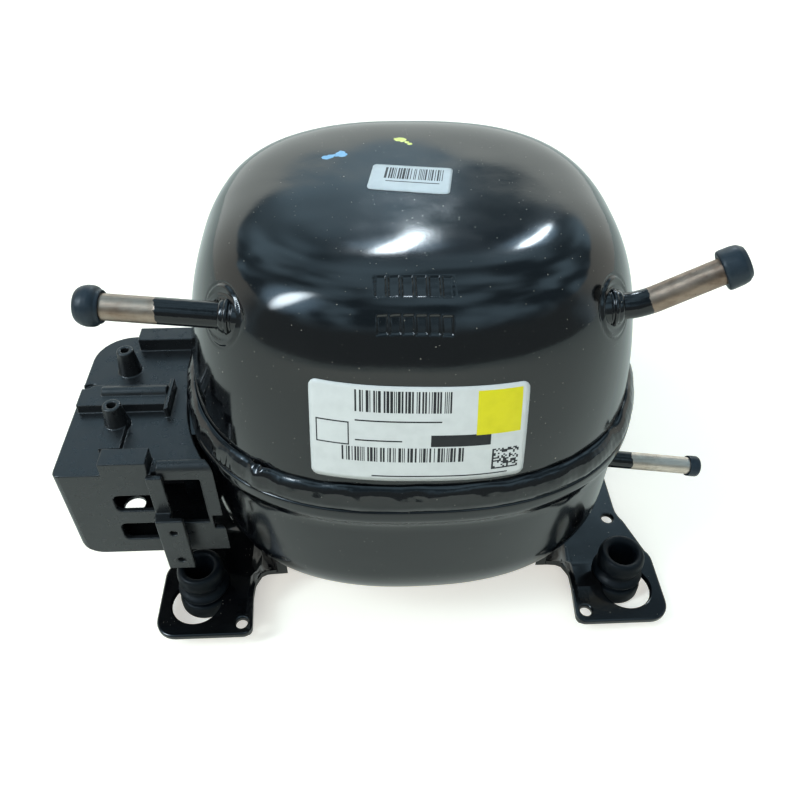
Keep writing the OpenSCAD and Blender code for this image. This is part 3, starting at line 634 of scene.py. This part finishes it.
def low_profile():
    """The lower shell's outline as (offset from the upper shell's plan, height), from rim to base."""
    wall_d, bend_z, bend_r = 0.1, 48, 30
    rim = [(0.35, 84), (3.1, 84), (3.1, 79.4), (1.15, 75.4), (0.75, 72), (wall_d, bend_z)]
    bend = [(wall_d - bend_r * (1 - math.cos(t)), bend_z - bend_r * math.sin(t))
            for t in np.radians(np.arange(5, 86, 4))]
    return rounded(rim, 1.5, 6, closed=False) + bend


def make_lower_shell(material):
    # finer round the discharge tube and the terminal
    angles = plan_angles(1.35, [(-34, -20, 0.5), (-180, -158, 0.9), (158, 180, 0.9)])
    line = np.array(low_profile())
    length = np.concatenate([[0], np.cumsum(np.hypot(*np.diff(line, axis=0).T))])
    rim_length = 13.5
    wanted = [0.0]
    while wanted[-1] < length[-1]:
        wanted.append(wanted[-1] + (0.35 if wanted[-1] < rim_length else 1.25))
    wanted[-1] = length[-1]
    outline = [(np.interp(s, length, line[:, 0]), np.interp(s, length, line[:, 1])) for s in wanted]
    rings = [plan_ring(angles, z, d) for d, z in outline]
    last_d, last_z = outline[-1]
    rings += [plan_ring(angles, BASE_Z + (last_z - BASE_Z) * s ** 3, last_d * s, s)
              for s in np.linspace(1, 0.015, 34)[1:]]
    points, faces = skin(rings, (0, 0, BASE_Z))
    faces = [f[::-1] for f in faces]
    out = points - np.array([0, 0, 62])
    out /= np.linalg.norm(out, axis=1, keepdims=True)
    rise = 0.16 * local_noise(points, 27, 3) + 0.05 * local_noise(points, 10, 4)
    rise *= smooth_step(SEAM_Z - points[:, 2], 0, 8)
    points = points + out * rise[:, None]
    points, faces = drop_inside(points, faces, TERMINAL, TERMINAL_R, 0.4)
    points, faces = drop_inside(points, faces, STUB, THIN_R - 0.05, 0.1)
    add_shell("lower_shell", points, faces, material)


def make_weld(material):
    """The seam weld: a wandering bead with ripples, spatter lumps and a stop crater."""
    columns = 1100
    angles = np.linspace(-math.pi, math.pi, columns, endpoint=False)
    low, high = 84, 93
    section = rounded(
        [(0.06, high), (1.5, 92.2), (2.6, 90.6), (3.3, 88.4), (3.55, 86.4), (3.05, low + 0.06),
         (0.06, low + 0.06)], 0.6, 3)
    around = plan_ring(angles, 0)
    step = np.linalg.norm(np.diff(around, axis=0), axis=1)
    along = np.concatenate([[0], np.cumsum(step)])
    wander = local_noise(around, 21, 5) * 1.0 + local_noise(around, 8, 6) * 0.5
    ripple = np.sin(along * 2 * math.pi / 2.3 + 2.5 * local_noise(around, 9, 7))
    crater = np.array([-50.4, -63.4])
    points = []
    for d, z in section:
        ring = plan_ring(angles, z, d, upper_scale(z))
        if d > 0.1:
            face = (z - low) / (high - low)
            lump = local_noise(ring, 2.6, 8) * 0.14 + local_noise(ring, 7.0, 9) * 0.6
            push = (0.03 * ripple + lump) * math.sin(math.pi * min(1, max(0.12, face)))
            far = np.hypot(ring[:, 0] - crater[0], ring[:, 1] - crater[1])
            push = push + 1.7 * np.exp(-((far / 2.9) ** 2)) - 1.8 * np.exp(-((far / 1.2) ** 2))
            out = ring[:, :2] / np.linalg.norm(ring[:, :2], axis=1, keepdims=True)
            ring[:, :2] += out * push[:, None]
            ring[:, 2] += wander * face * 0.9
        points.append(ring)
    points = np.concatenate(points)
    faces = [f[::-1] for f in grid_faces(len(section), columns, wrap_rows=True)]
    add_piece("seam_weld_bead", points, faces, [material], "housing", ["seam_weld"])


# ---------------------------------------------------------------- labels

PAPER, INK, YELLOW = range(3)  # a label's material slots
LABEL_GAP = 0.04


def label_sheet(name, across, down, pick, point_at, thickness, materials, node, pull):
    """A label whose print is cut into it: cells between the given lines take the ink pick names."""
    across, down = np.array(sorted(set(across))), np.array(sorted(set(down)))
    rows, cols = len(down), len(across)
    count = rows * cols
    points = [point_at(*pull(u, v), side) for side in (thickness, 0.0) for v in down for u in across]
    back = grid_faces(rows, cols, wrap_cols=False, start=count)
    faces = [(a - count, d - count, c - count, b - count) for a, b, c, d in back] + back
    middle_u, middle_v = (across[:-1] + across[1:]) / 2, (down[:-1] + down[1:]) / 2
    slots = [pick(u, v) for v in middle_v for u in middle_u]
    ring = (
        list(range(cols))
        + [j * cols + cols - 1 for j in range(1, rows)]
        + [(rows - 1) * cols + i for i in range(cols - 2, -1, -1)]
        + [j * cols for j in range(rows - 2, 0, -1)]
    )
    faces += [(a, b, b + count, a + count) for a, b in zip(ring, ring[1:] + ring[:1])]
    slots += [PAPER] * (len(faces) - len(slots))
    add_piece(name, points, faces, materials, "housing", [node], slots)


def corner_pull(width, height, radius):
    """Moves points of the unit square so that its corners become round by radius millimetres."""
    def pull(u, v):
        x, y = (u - 0.5) * width, (v - 0.5) * height
        cx, cy = width / 2 - radius, height / 2 - radius
        dx, dy = abs(x) - cx, abs(y) - cy
        if dx > 0 and dy > 0:
            pulled = max(dx, dy) / math.hypot(dx, dy)
            x = math.copysign(cx + dx * pulled, x)
            y = math.copysign(cy + dy * pulled, y)
        return x / width + 0.5, y / height + 0.5
    return pull


def bars(low, high, unit, draw):
    """The ends of each bar across a generic bar field that means nothing."""
    ends, x = [], low
    while x < high - unit:
        wide = unit * draw.choice((1, 1, 2, 2, 3))
        ends.append((x, min(x + wide, high)))
        x += wide + unit * draw.choice((1, 1, 2, 3))
    return ends


def lines_between(low, high, step):
    return list(np.linspace(low, high, max(2, int(round((high - low) / step)) + 1)))


def make_rating_label(stock, ink, yellow):
    draw = random.Random(11)
    upper = bars(0.205, 0.650, 0.0042, draw)
    lower = bars(0.143, 0.710, 0.0042, draw)
    square_u, square_v = (0.840, 0.968), (0.655, 0.895)
    cells = 14
    dots = [[draw.random() < 0.52 for _ in range(cells)] for _ in range(cells)]
    for k in range(cells):
        dots[cells - 1][k] = dots[k][0] = True
    # areas of print from u0 to u1 across and v0 to v1 down, and their ink
    areas = [(0.76, 0.968, 0.045, 0.485, YELLOW), (0.552, 0.83, 0.475, 0.60, INK)]
    areas += [(0.205, 0.60, 0.33, 0.345, INK), (0.205, 0.42, 0.535, 0.55, INK),
              (0.28, 0.92, 0.935, 0.95, INK)]
    areas += [(0.028, 0.178, v, v + 0.014, INK) for v in (0.36, 0.591)]
    areas += [(u, u + 0.006, 0.36, 0.605, INK) for u in (0.028, 0.172)]
    areas += [(a, b, 0.045, 0.25, INK) for a, b in upper]
    areas += [(a, b, 0.615, 0.775, INK) for a, b in lower]
    wide, tall = (square_u[1] - square_u[0]) / cells, (square_v[1] - square_v[0]) / cells
    for row in range(cells):
        for column in range(cells):
            if dots[row][column]:
                u, v = square_u[0] + wide * column, square_v[0] + tall * row
                areas.append((u, u + wide, v, v + tall, INK))
    across, down = lines_between(0, 1, 0.02), lines_between(0, 1, 0.055)
    for u0, u1, v0, v1, _ in areas:
        across += [round(u, 5) for u in (u0, u1)]
        down += [round(v, 5) for v in (v0, v1)]

    def pick(u, v):
        for u0, u1, v0, v1, slot in areas:
            if u0 < u < u1 and v0 < v < v1:
                return slot
        return PAPER

    def point_at(u, v, lift):
        x = (-32.6 + 62.6 * u) * (1 - v) + (-33.6 + 64.4 * u) * v
        z = (129.6 - 1.9 * u) * (1 - v) + (95.6 - 1.6 * u) * v
        k = float(upper_scale(np.array(z)))
        y = -SHELL_B * k * (1 - (abs(x) / (SHELL_A * k)) ** PLAN) ** (1 / PLAN)
        p = np.array([[x, y, z]])
        return tuple((p + upper_normal(p) * (float(swell(p)[0]) + LABEL_GAP + lift))[0])

    label_sheet("rating_label_sheet", across, down, pick, point_at, 0.16, [stock, ink, yellow],
                "rating_label", corner_pull(63.5, 34, 2.4))


def make_top_label(stock, ink):
    width, height = 26.2, 17.2
    field = bars(0.17, 0.90, 0.010, random.Random(5))
    across = lines_between(0, 1, 0.04) + [e for pair in field for e in pair] + [0.20, 0.86]
    down = lines_between(0, 1, 0.08) + [0.10, 0.53, 0.62, 0.65]
    turn = turned(0, 0, -9)

    def pick(u, v):
        if 0.10 < v < 0.53 and any(a < u < b for a, b in field):
            return INK
        return INK if 0.62 < v < 0.65 and 0.20 < u < 0.86 else PAPER

    def point_at(u, v, lift):
        flat = turn @ Vector(((u - 0.5) * width, (0.5 - v) * height, 0)) + Vector((-0.7, 2.2, 0))
        plan = (abs(flat.x) / SHELL_A) ** PLAN + (abs(flat.y) / SHELL_B) ** PLAN
        z = DOME_Z + (SHELL_TOP - DOME_Z) * math.sqrt(1 - plan ** (8 / PLAN))
        p = np.array([[flat.x, flat.y, z]])
        return flat.x, flat.y, z + float(swell(p)[0]) + LABEL_GAP + lift

    label_sheet("top_label_sheet", across, down, pick, point_at, 0.14, [stock, ink], "top_label",
                corner_pull(width, height, 1.6))


# ---------------------------------------------------------------- tubes, collars, rubber

STEP = 1.5  # mm between a tube's rings


def straight(z0, z1):
    return [(0, 0, z) for z in lines_between(z0, z1, STEP)]


def make_tubes(looks):
    bent = straight(-15, BEND_Z)
    bent += [(BEND_R * (math.cos(t) - 1), 0, BEND_Z + BEND_R * math.sin(t))
             for t in np.radians(np.arange(1.5, BEND_A + 0.1, 1.5))]
    turn = math.radians(BEND_A)
    end, heading = Vector(bent[-1]), Vector((-math.sin(turn), 0, math.cos(turn)))
    bent += [tuple(end + heading * s) for s in lines_between(0, BEND_L, STEP)[1:]]
    for name, path, radius, place, columns in (
        ("suction", straight(-15, SUCTION_L), TUBE_R, SUCTION, 56),
        ("process", bent, TUBE_R, PROCESS, 56),
        ("discharge", straight(-12, STUB_L), THIN_R, STUB, 48),
    ):
        points, faces = tube(path, radius, TUBE_WALL, place, columns)
        sharpen(add_piece(name + "_pipe", points, faces, [looks[name]], "housing", [name + "_tube"]), 60)


def make_collars(material):
    bore, barrel = 4.06, 5.8
    steps = [(barrel, -4.2), (5.3, -3.9), (5.3, -3.3), (barrel, -3.0), (barrel, -2.1), (5.2, -1.8),
             (5.2, -1.3), (5.0, -0.5), (4.4, 0), (bore, 0.05)]
    for name, place, start, end in (("suction", SUCTION, -13, -1.5), ("process", PROCESS, -12, 2.0)):
        profile = [(bore, start), (barrel, start)] + [(r, end + z) for r, z in steps]
        points, faces = lathe(rounded(profile, 0.3, 3), place)
        sharpen(add_piece(name + "_collar_turned", points, faces, [material], "housing",
                          [name + "_collar"]), 60)


CAP_BORE = [(0, 0.12), (4.04, 0.12), (4.04, -5.2)]
BARREL_CAP = CAP_BORE + [(4.7, -5.2), (4.95, -4.9), (5.1, -4.3), (5.75, -3.6), (6.1, -2.6),
                         (6.15, -0.8), (5.75, 0.7), (5.2, 1.7), (4.7, 2.2), (3.6, 2.2), (3.2, 1.8),
                         (0, 1.7)]
DRUM_CAP = CAP_BORE + [(5.5, -5.2), (5.95, -4.9), (6.1, -4.2), (6.0, -1.0), (5.7, 0.7), (4.5, 2.1),
                       (4.1, 2.25), (3.0, 2.25), (2.6, 1.9), (0, 1.8)]


def make_caps(material):
    end = PROCESS @ placed(-BEND_R, 0, BEND_Z) @ turned(0, -BEND_A, 0) @ placed(BEND_R, 0, BEND_L)
    thin = [(0, 0.12), (THIN_R + 0.03, 0.12), (THIN_R + 0.03, -3.0), (THIN_R + 0.62, -3.0),
            (THIN_R + 0.72, -1.2), (THIN_R + 0.68, 0.6), (THIN_R + 0.3, 1.15), (0, 1.2)]
    for name, place, profile, bore in (
        ("suction", SUCTION @ placed(0, 0, SUCTION_L), BARREL_CAP, TUBE_R),
        ("process", end, DRUM_CAP, TUBE_R),
        ("discharge", STUB @ placed(0, 0, STUB_L), thin, THIN_R),
    ):
        points, faces = lathe(rounded(profile, 0.35, 4, closed=False), place, closed=False)
        q = in_frame(np.array(points), place)
        outside = np.hypot(q[:, 0], q[:, 1]) > bore + 0.3
        q[:, :2] *= (1 + np.where(outside, 0.012, 0) * local_noise(q, 4, 13))[:, None]
        sharpen(add_piece(name + "_cap_moulded", from_frame(q, place), faces, [material],
                          name + "_plug", [name + "_cap"]), 50)


GROMMET = [(5.1, 0), (9.4, 0), (10.1, 0.9), (10.1, 4.2), (9.8, 6.0), (9.2, 6.9), (7.45, 6.95),
           (7.45, 9.55), (9.6, 9.6), (9.9, 10.4), (9.3, 11.4), (7.9, 12.4), (7.6, 13.6), (8.3, 15.0),
           (8.9, 16.8), (8.95, 19.0), (8.6, 20.9), (7.8, 22), (6.2, 22), (5.1, 20.6)]


def make_grommets(material):
    points, faces = [], []
    for sx in (-1, 1):
        for sy in (-1, 1):
            place = placed(sx * BOLT_X, sy * BOLT_Y, 0)
            more, quads = lathe(rounded(GROMMET, 0.9, 4), place)
            faces += [[i + len(points) for i in f] for f in quads]
            points += more
    sharpen(add_piece("grommet_set", points, faces, [material], "housing", ["grommets"]), 50)


# ---------------------------------------------------------------- pieces drawn from the CAD's own form

BEVEL_ANGLE = math.radians(38)


def softened(node, name, material, body, width, form=None):
    """A copy of a CAD node, put into its finer form, with a small bevel on its edges."""
    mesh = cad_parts[node].data.copy()
    mesh.name = name
    mesh.materials.clear()
    mesh.materials.append(material)
    bm = bmesh.new()
    bm.from_mesh(mesh)
    bmesh.ops.remove_doubles(bm, verts=bm.verts, dist=2e-6)
    bmesh.ops.dissolve_limit(bm, angle_limit=math.radians(1), verts=bm.verts, edges=bm.edges)
    bmesh.ops.recalc_face_normals(bm, faces=bm.faces)
    if form:
        form(bm)
    for face in bm.faces:
        face.smooth = True
    bm.to_mesh(mesh)
    bm.free()
    obj = bpy.data.objects.new(name, mesh)
    place_piece(obj, body, [node])
    bevel = obj.modifiers.new("edge", "BEVEL")
    bevel.width = width * MM
    bevel.segments = 3
    bevel.limit_method = "WEIGHT" if form is press_bracket else "ANGLE"
    bevel.angle_limit = BEVEL_ANGLE
    bevel.use_clamp_overlap = False
    bevel.miter_outer = "MITER_ARC"
    sharpen(obj, 30)
    normals = obj.modifiers.new("shading", "WEIGHTED_NORMAL")
    normals.keep_sharp = True


def slice_mesh(bm, axis, place):
    """Adds edges where a plane square to an axis cuts the mesh."""
    normal = Vector((0, 0, 0))
    normal[axis] = 1
    bmesh.ops.bisect_plane(bm, geom=bm.verts[:] + bm.edges[:] + bm.faces[:],
                           plane_co=normal * place * MM, plane_no=normal, dist=1e-6)


def settle_shoulder(bm):
    """Makes the slope behind the box's rounded shoulder short and steep."""
    crest, back = -49.6, -37.9
    foot, top = 78.5, 81.6
    rim_x = -87.1
    slice_mesh(bm, 1, crest)
    for vert in bm.verts:
        x, y, z = (c / MM for c in vert.co)
        if x > rim_x and crest - 0.1 < y < back and foot < z < top:
            vert.co.z = foot * MM


CURL = 4.6  # mm that a bracket's corners by the shell turn up
PLATE_LOW, PLATE_TOP = 7.0, 9.5


def press_bracket(bm):
    """Curls the corners by the shell upward, marks the edges to bevel and adds the blank cells."""
    # edges for the curl to bend at
    for axis, places in ((1, (46, 49, 52, 55, 58)), (0, (61, 63, 65))):
        for place in places:
            slice_mesh(bm, axis, place)
            slice_mesh(bm, axis, -place)
    for vert in bm.verts:
        x, y, z = (abs(c) / MM for c in vert.co)
        if z < 12 and y > 44:
            vert.co.z += CURL * MM * float(smooth_step(x, 66, 61) * smooth_step(y, 45, 49)
                                           * smooth_step(y, 61, 54))
    weight = bm.edges.layers.float.new("bevel_weight_edge")
    for edge in bm.edges:
        if len(edge.link_faces) == 2 and edge.calc_face_angle(0) > BEVEL_ANGLE:
            edge[weight] = float(plate_edge(*(v.co / MM for v in edge.verts)))
    add_cells(bm, math.copysign(1, sum(v.co.x for v in bm.verts)))


def add_cells(bm, side):
    """Four blank cells in raised outline, two by two, on the front corner of a bracket."""
    wide, line, high = 2.3, 0.45, 0.7
    reach_x, reach_y, tall = 0.92, 1.1, 1.9
    strokes = [(0, dy, wide, line) for dy in (reach_y, -reach_y)]
    strokes += [(dx, 0, line, tall) for dx in (reach_x, -reach_x)]
    for x in (64.8, 67.5):
        for y in (-60.6, -63.7):
            for dx, dy, size_x, size_y in strokes:
                size = Matrix.Diagonal((size_x * MM, size_y * MM, high * MM, 1))
                spot = Vector((side * (x + dx), y + dy, PLATE_TOP + 0.05)) * MM
                bmesh.ops.create_cube(bm, size=1, matrix=Matrix.Translation(spot) @ size)


def plate_edge(a, b):
    """Whether an edge runs along a bracket plate's outline or holes, away from the shell."""
    on_face = all(min(abs(p.z - PLATE_LOW), abs(p.z - PLATE_TOP)) < 0.05 for p in (a, b))
    return on_face and all(abs(p.x) > 63.0 and (abs(p.x) > 73 or abs(p.y) > 58) for p in (a, b))


# ---------------------------------------------------------------- the object

shell_look = enamel("shell_enamel", marks=(
    (((-28.3, 17.9, 1.4), (-26.6, 18.6, 1.5), (-24.9, 19.4, 1.2), (-22.9, 20.6, 2.2)),
     (0.16, 0.40, 0.62)),
    (((-3.6, 31.0, 1.6), (-1.9, 30.6, 1.8), (-0.4, 28.8, 1.3), (0.5, 27.6, 1.1)),
     (0.72, 0.76, 0.12)),
))
lower_look = enamel("lower_enamel", rough=0.10, dust=0.6)
weld_look = enamel("weld_enamel", rough=0.10, peel=2.0, dust=0.6, lumps=0.35)
bracket_look = enamel("bracket_enamel", rough=0.12, peel=1.6, dust=0.8)
collar_look = enamel("collar_enamel", rough=0.10, peel=1.2, dust=0.3)
cap_look = rubber("cap_rubber", (0.011, 0.018, 0.025), (0.04, 0.055, 0.07), 0.38)
# painted shade: the grommets' rubber is made far darker than the caps' to stand for the shadow they sit
# in under the brackets and the box
grommet_painted_shade_look = rubber("grommet_rubber_painted_shade", (0.0014, 0.0026, 0.004), (0.009, 0.013, 0.017), 0.46, 0.20)
box_look = moulded("box_plastic_grain", (0.0068, 0.0076, 0.0082), 0.31, 2.4, 0.6)
stock_look = paper("label_stock", (0.60, 0.60, 0.57))
ink_look = paper("label_ink", (0.006, 0.006, 0.008), 0.48)
yellow_look = paper("label_yellow", (0.68, 0.60, 0.001), 0.46)
small_look = paper("small_label_stock", (0.52, 0.55, 0.55), 0.42)

make_upper_shell(shell_look)
make_lower_shell(lower_look)
make_weld(weld_look)
make_rating_label(stock_look, ink_look, yellow_look)
make_top_label(small_look, ink_look)
make_tubes({
    "suction": painted_tube("suction_tube_metal", (-1, 0, 0), 77.0),
    "process": painted_tube("process_tube_metal", (0.927, 0, 0.375), 114.8, (0.29, 0.215, 0.165),
                            (0.12, 0.068, 0.044)),
    "discharge": painted_tube("discharge_tube_metal", (1, 0, 0), 81.2, (0.62, 0.53, 0.45),
                              (0.30, 0.22, 0.16)),
})
make_collars(collar_look)
make_caps(cap_look)
make_grommets(grommet_painted_shade_look)
for bracket in ("base_bracket_left", "base_bracket_right"):
    softened(bracket, bracket + "_pressed", bracket_look, "housing", 0.7,
             press_bracket)
softened("terminal_box", "terminal_box_moulded", box_look, "electrical_box", 0.45,
         settle_shoulder)
softened("cord_clamp", "cord_clamp_moulded", box_look, "electrical_box", 0.5)

# The CAD nodes inside the shell keep their own form and take these looks.
INTERNAL = (
    ("stator_core rotor_core",
     metal("lamination_stack", (0.28, 0.28, 0.31), 0.42, (0.02, 0.02, 2.2), 1.0, 0.3, 0.1)),
    ("main_winding", windings("main_winding_wire", (0.62, 0.26, 0.12))),
    ("start_winding", windings("start_winding_wire", (0.70, 0.34, 0.16))),
    ("cylinder_block counterweight",
     metal("cast_iron_grain", (0.20, 0.20, 0.21), 0.55, size=1.4, stain=0.5, depth=0.08)),
    ("terminal_body terminal_pins stator_screws spring_studs spring_seats head_screws thrust_washer "
     "valve_plate crankshaft oil_pickup oil_metering_plug crosshead_tube piston discharge_muffler",
     metal("turned_steel", (0.56, 0.56, 0.57), 0.28, (1, 1, 6), 1.2)),
    ("suspension_springs overload_clip suction_reed discharge_reed",
     metal("spring_steel_wire", (0.42, 0.42, 0.44), 0.30, size=0.8)),
    ("rotor_cage cylinder_head",
     metal("die_cast_alloy", (0.66, 0.67, 0.68), 0.40, size=2.0, stain=0.25, depth=0.03)),
    ("slider_block",
     metal("sintered_iron", (0.34, 0.34, 0.35), 0.5, size=0.6, stain=0.3, depth=0.04)),
    ("discharge_loop", metal("bright_copper", (0.72, 0.36, 0.22), 0.26, size=1.5, stain=0.4)),
    ("start_relay overload_protector terminal_plug",
     moulded("relay_phenolic", (0.015, 0.015, 0.017), 0.42)),
    ("suction_muffler", moulded("muffler_resin", (0.62, 0.60, 0.52), 0.42, 0.6)),
    ("stator_leads", moulded("lead_insulation", (0.42, 0.03, 0.025), 0.38, 0.4)),
    ("slot_liners", paper("slot_film", (0.72, 0.68, 0.52), 0.4)),
    ("head_gasket", paper("fibre_gasket", (0.26, 0.28, 0.26), 0.7)),
    ("terminal_glass", sealing_glass("sealing_glass")),
    ("terminal_fence", bracket_look),
)
for names, look in INTERNAL:
    for name in names.split():
        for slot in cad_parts[name].material_slots:
            slot.material = look


# ---------------------------------------------------------------- floor, world and lamp

def make_floor():
    """A white floor that the camera sees lifted a little, so that it runs out to pure white."""
    mesh = bpy.data.meshes.new("floor")
    mesh.from_pydata([(-4, -4, 0), (4, -4, 0), (4, 4, 0), (-4, 4, 0)], [], [(0, 1, 2, 3)])
    floor = bpy.data.objects.new("floor", mesh)
    scene.collection.objects.link(floor)
    floor.location.z = -0.00005
    look = Look("floor", Base_Color=(0.80, 0.765, 0.66), Roughness=0.9, Specular_IOR_Level=0.1,
                Emission_Color=(1.0, 0.95, 0.90))
    seen = look.add("ShaderNodeLightPath").outputs["Is Camera Ray"]
    mesh.materials.append(look.set(Emission_Strength=look.math("MULTIPLY", seen, 0.45)))


# The lamps painted on the world, each as its direction, its long side, half its length and height
# (in sines of angles), its halo in degrees and its power.
GLOWS = (
    ((0.04, 0.80, 0.60), (0.09, 0.13, -0.16), 0.125, 0.036, 5, 40),
    ((0.28, 0.74, 0.61), (0.05, 0.07, -0.11), 0.095, 0.036, 6, 36),
    ((-0.67, -0.26, 0.69), (0.51, 0.20, 0.55), 0.36, 0.11, 20, 24),
)


def make_world():
    """A dim blue room with a pale wall low at the back, dark low in front, and three soft lamps.

    The camera itself sees plain white."""
    world = bpy.data.worlds.new("studio")
    scene.world = world
    world.use_nodes = True
    sky = Nodes(world.node_tree)
    room = sky.tree.nodes["Background"]
    way = sky.add("ShaderNodeTexCoord").outputs["Generated"]
    _, y, z = sky.add("ShaderNodeSeparateXYZ", {"Vector": way}).outputs

    def fade(value, low, high):
        return sky.ramp(value, low, high, interpolation_type="SMOOTHSTEP")

    def product(a, b):
        return sky.math("MULTIPLY", a, b)

    def off_centre(axis, half):
        share = sky.math("DIVIDE", sky.dot(way, axis), half)
        return product(share, share)

    cloud = sky.add("ShaderNodeTexNoise", {"Vector": way, "Scale": 3.4, "Detail": 1.0}).outputs["Fac"]
    rise = sky.math("ADD", product(cloud, 0.10), z)
    wall = product(fade(rise, 0.505, 0.480), fade(y, -0.35, 0.15))
    dark = product(fade(z, 0.62, 0.36), fade(y, 0.0, -0.4))
    lit = sky.mix(fade(y, 0.45, 0.95), (0.80, 0.82, 0.76), (1.30, 1.42, 1.38))
    colour = sky.mix(fade(cloud, 0.34, 0.70), (0.13, 0.20, 0.25), (0.66, 0.98, 1.20))
    colour = sky.mix(wall, colour, lit)
    colour = sky.mix(dark, colour, (0.22, 0.26, 0.27))
    for glow, along, long, short, halo, power in GLOWS:
        middle = Vector(glow).normalized()
        side = (Vector(along) - middle * middle.dot(along)).normalized()
        near = sky.dot(way, middle)
        colour = sky.mix(fade(near, math.cos(math.radians(halo)), 1.0), colour, (1.5, 2.3, 3.0))
        away = sky.math("ADD", off_centre(side, long), off_centre(middle.cross(side), short))
        core = product(fade(away, 1.0, 0.0), fade(near, 0.0, 0.2))
        colour = sky.mix(core, colour, (0.80 * power, 0.92 * power, power))
    sky.tree.links.new(colour, room.inputs[0])
    seen = sky.add("ShaderNodeLightPath").outputs["Is Camera Ray"]
    white = sky.add("ShaderNodeBackground", {0: (1, 1, 1)})
    both = sky.add("ShaderNodeMixShader", {0: seen, 1: room.outputs[0], 2: white.outputs[0]})
    sky.tree.links.new(both.outputs[0], sky.tree.nodes["World Output"].inputs[0])


def make_key_light():
    """A large dim lamp in front and above, which the gloss does not mirror."""
    data = bpy.data.lights.new("soft_key", "AREA")
    data.shape = "RECTANGLE"
    data.size, data.size_y = 1.0, 1.0
    data.energy = 12
    obj = bpy.data.objects.new("soft_key", data)
    scene.collection.objects.link(obj)
    aim, distance = Vector((0, 0, 90)) * MM, 1.7
    back = Vector((-0.15, -0.8, 0.6)).normalized()
    side = Vector((1, 0, 0))
    side = (side - back * side.dot(back)).normalized()
    spin = Matrix((side, back.cross(side), back)).transposed().to_4x4()
    obj.matrix_world = Matrix.Translation(aim + back * distance) @ spin
    obj.visible_glossy = False


make_floor()
make_world()
make_key_light()

scene.view_settings.view_transform = "Standard"
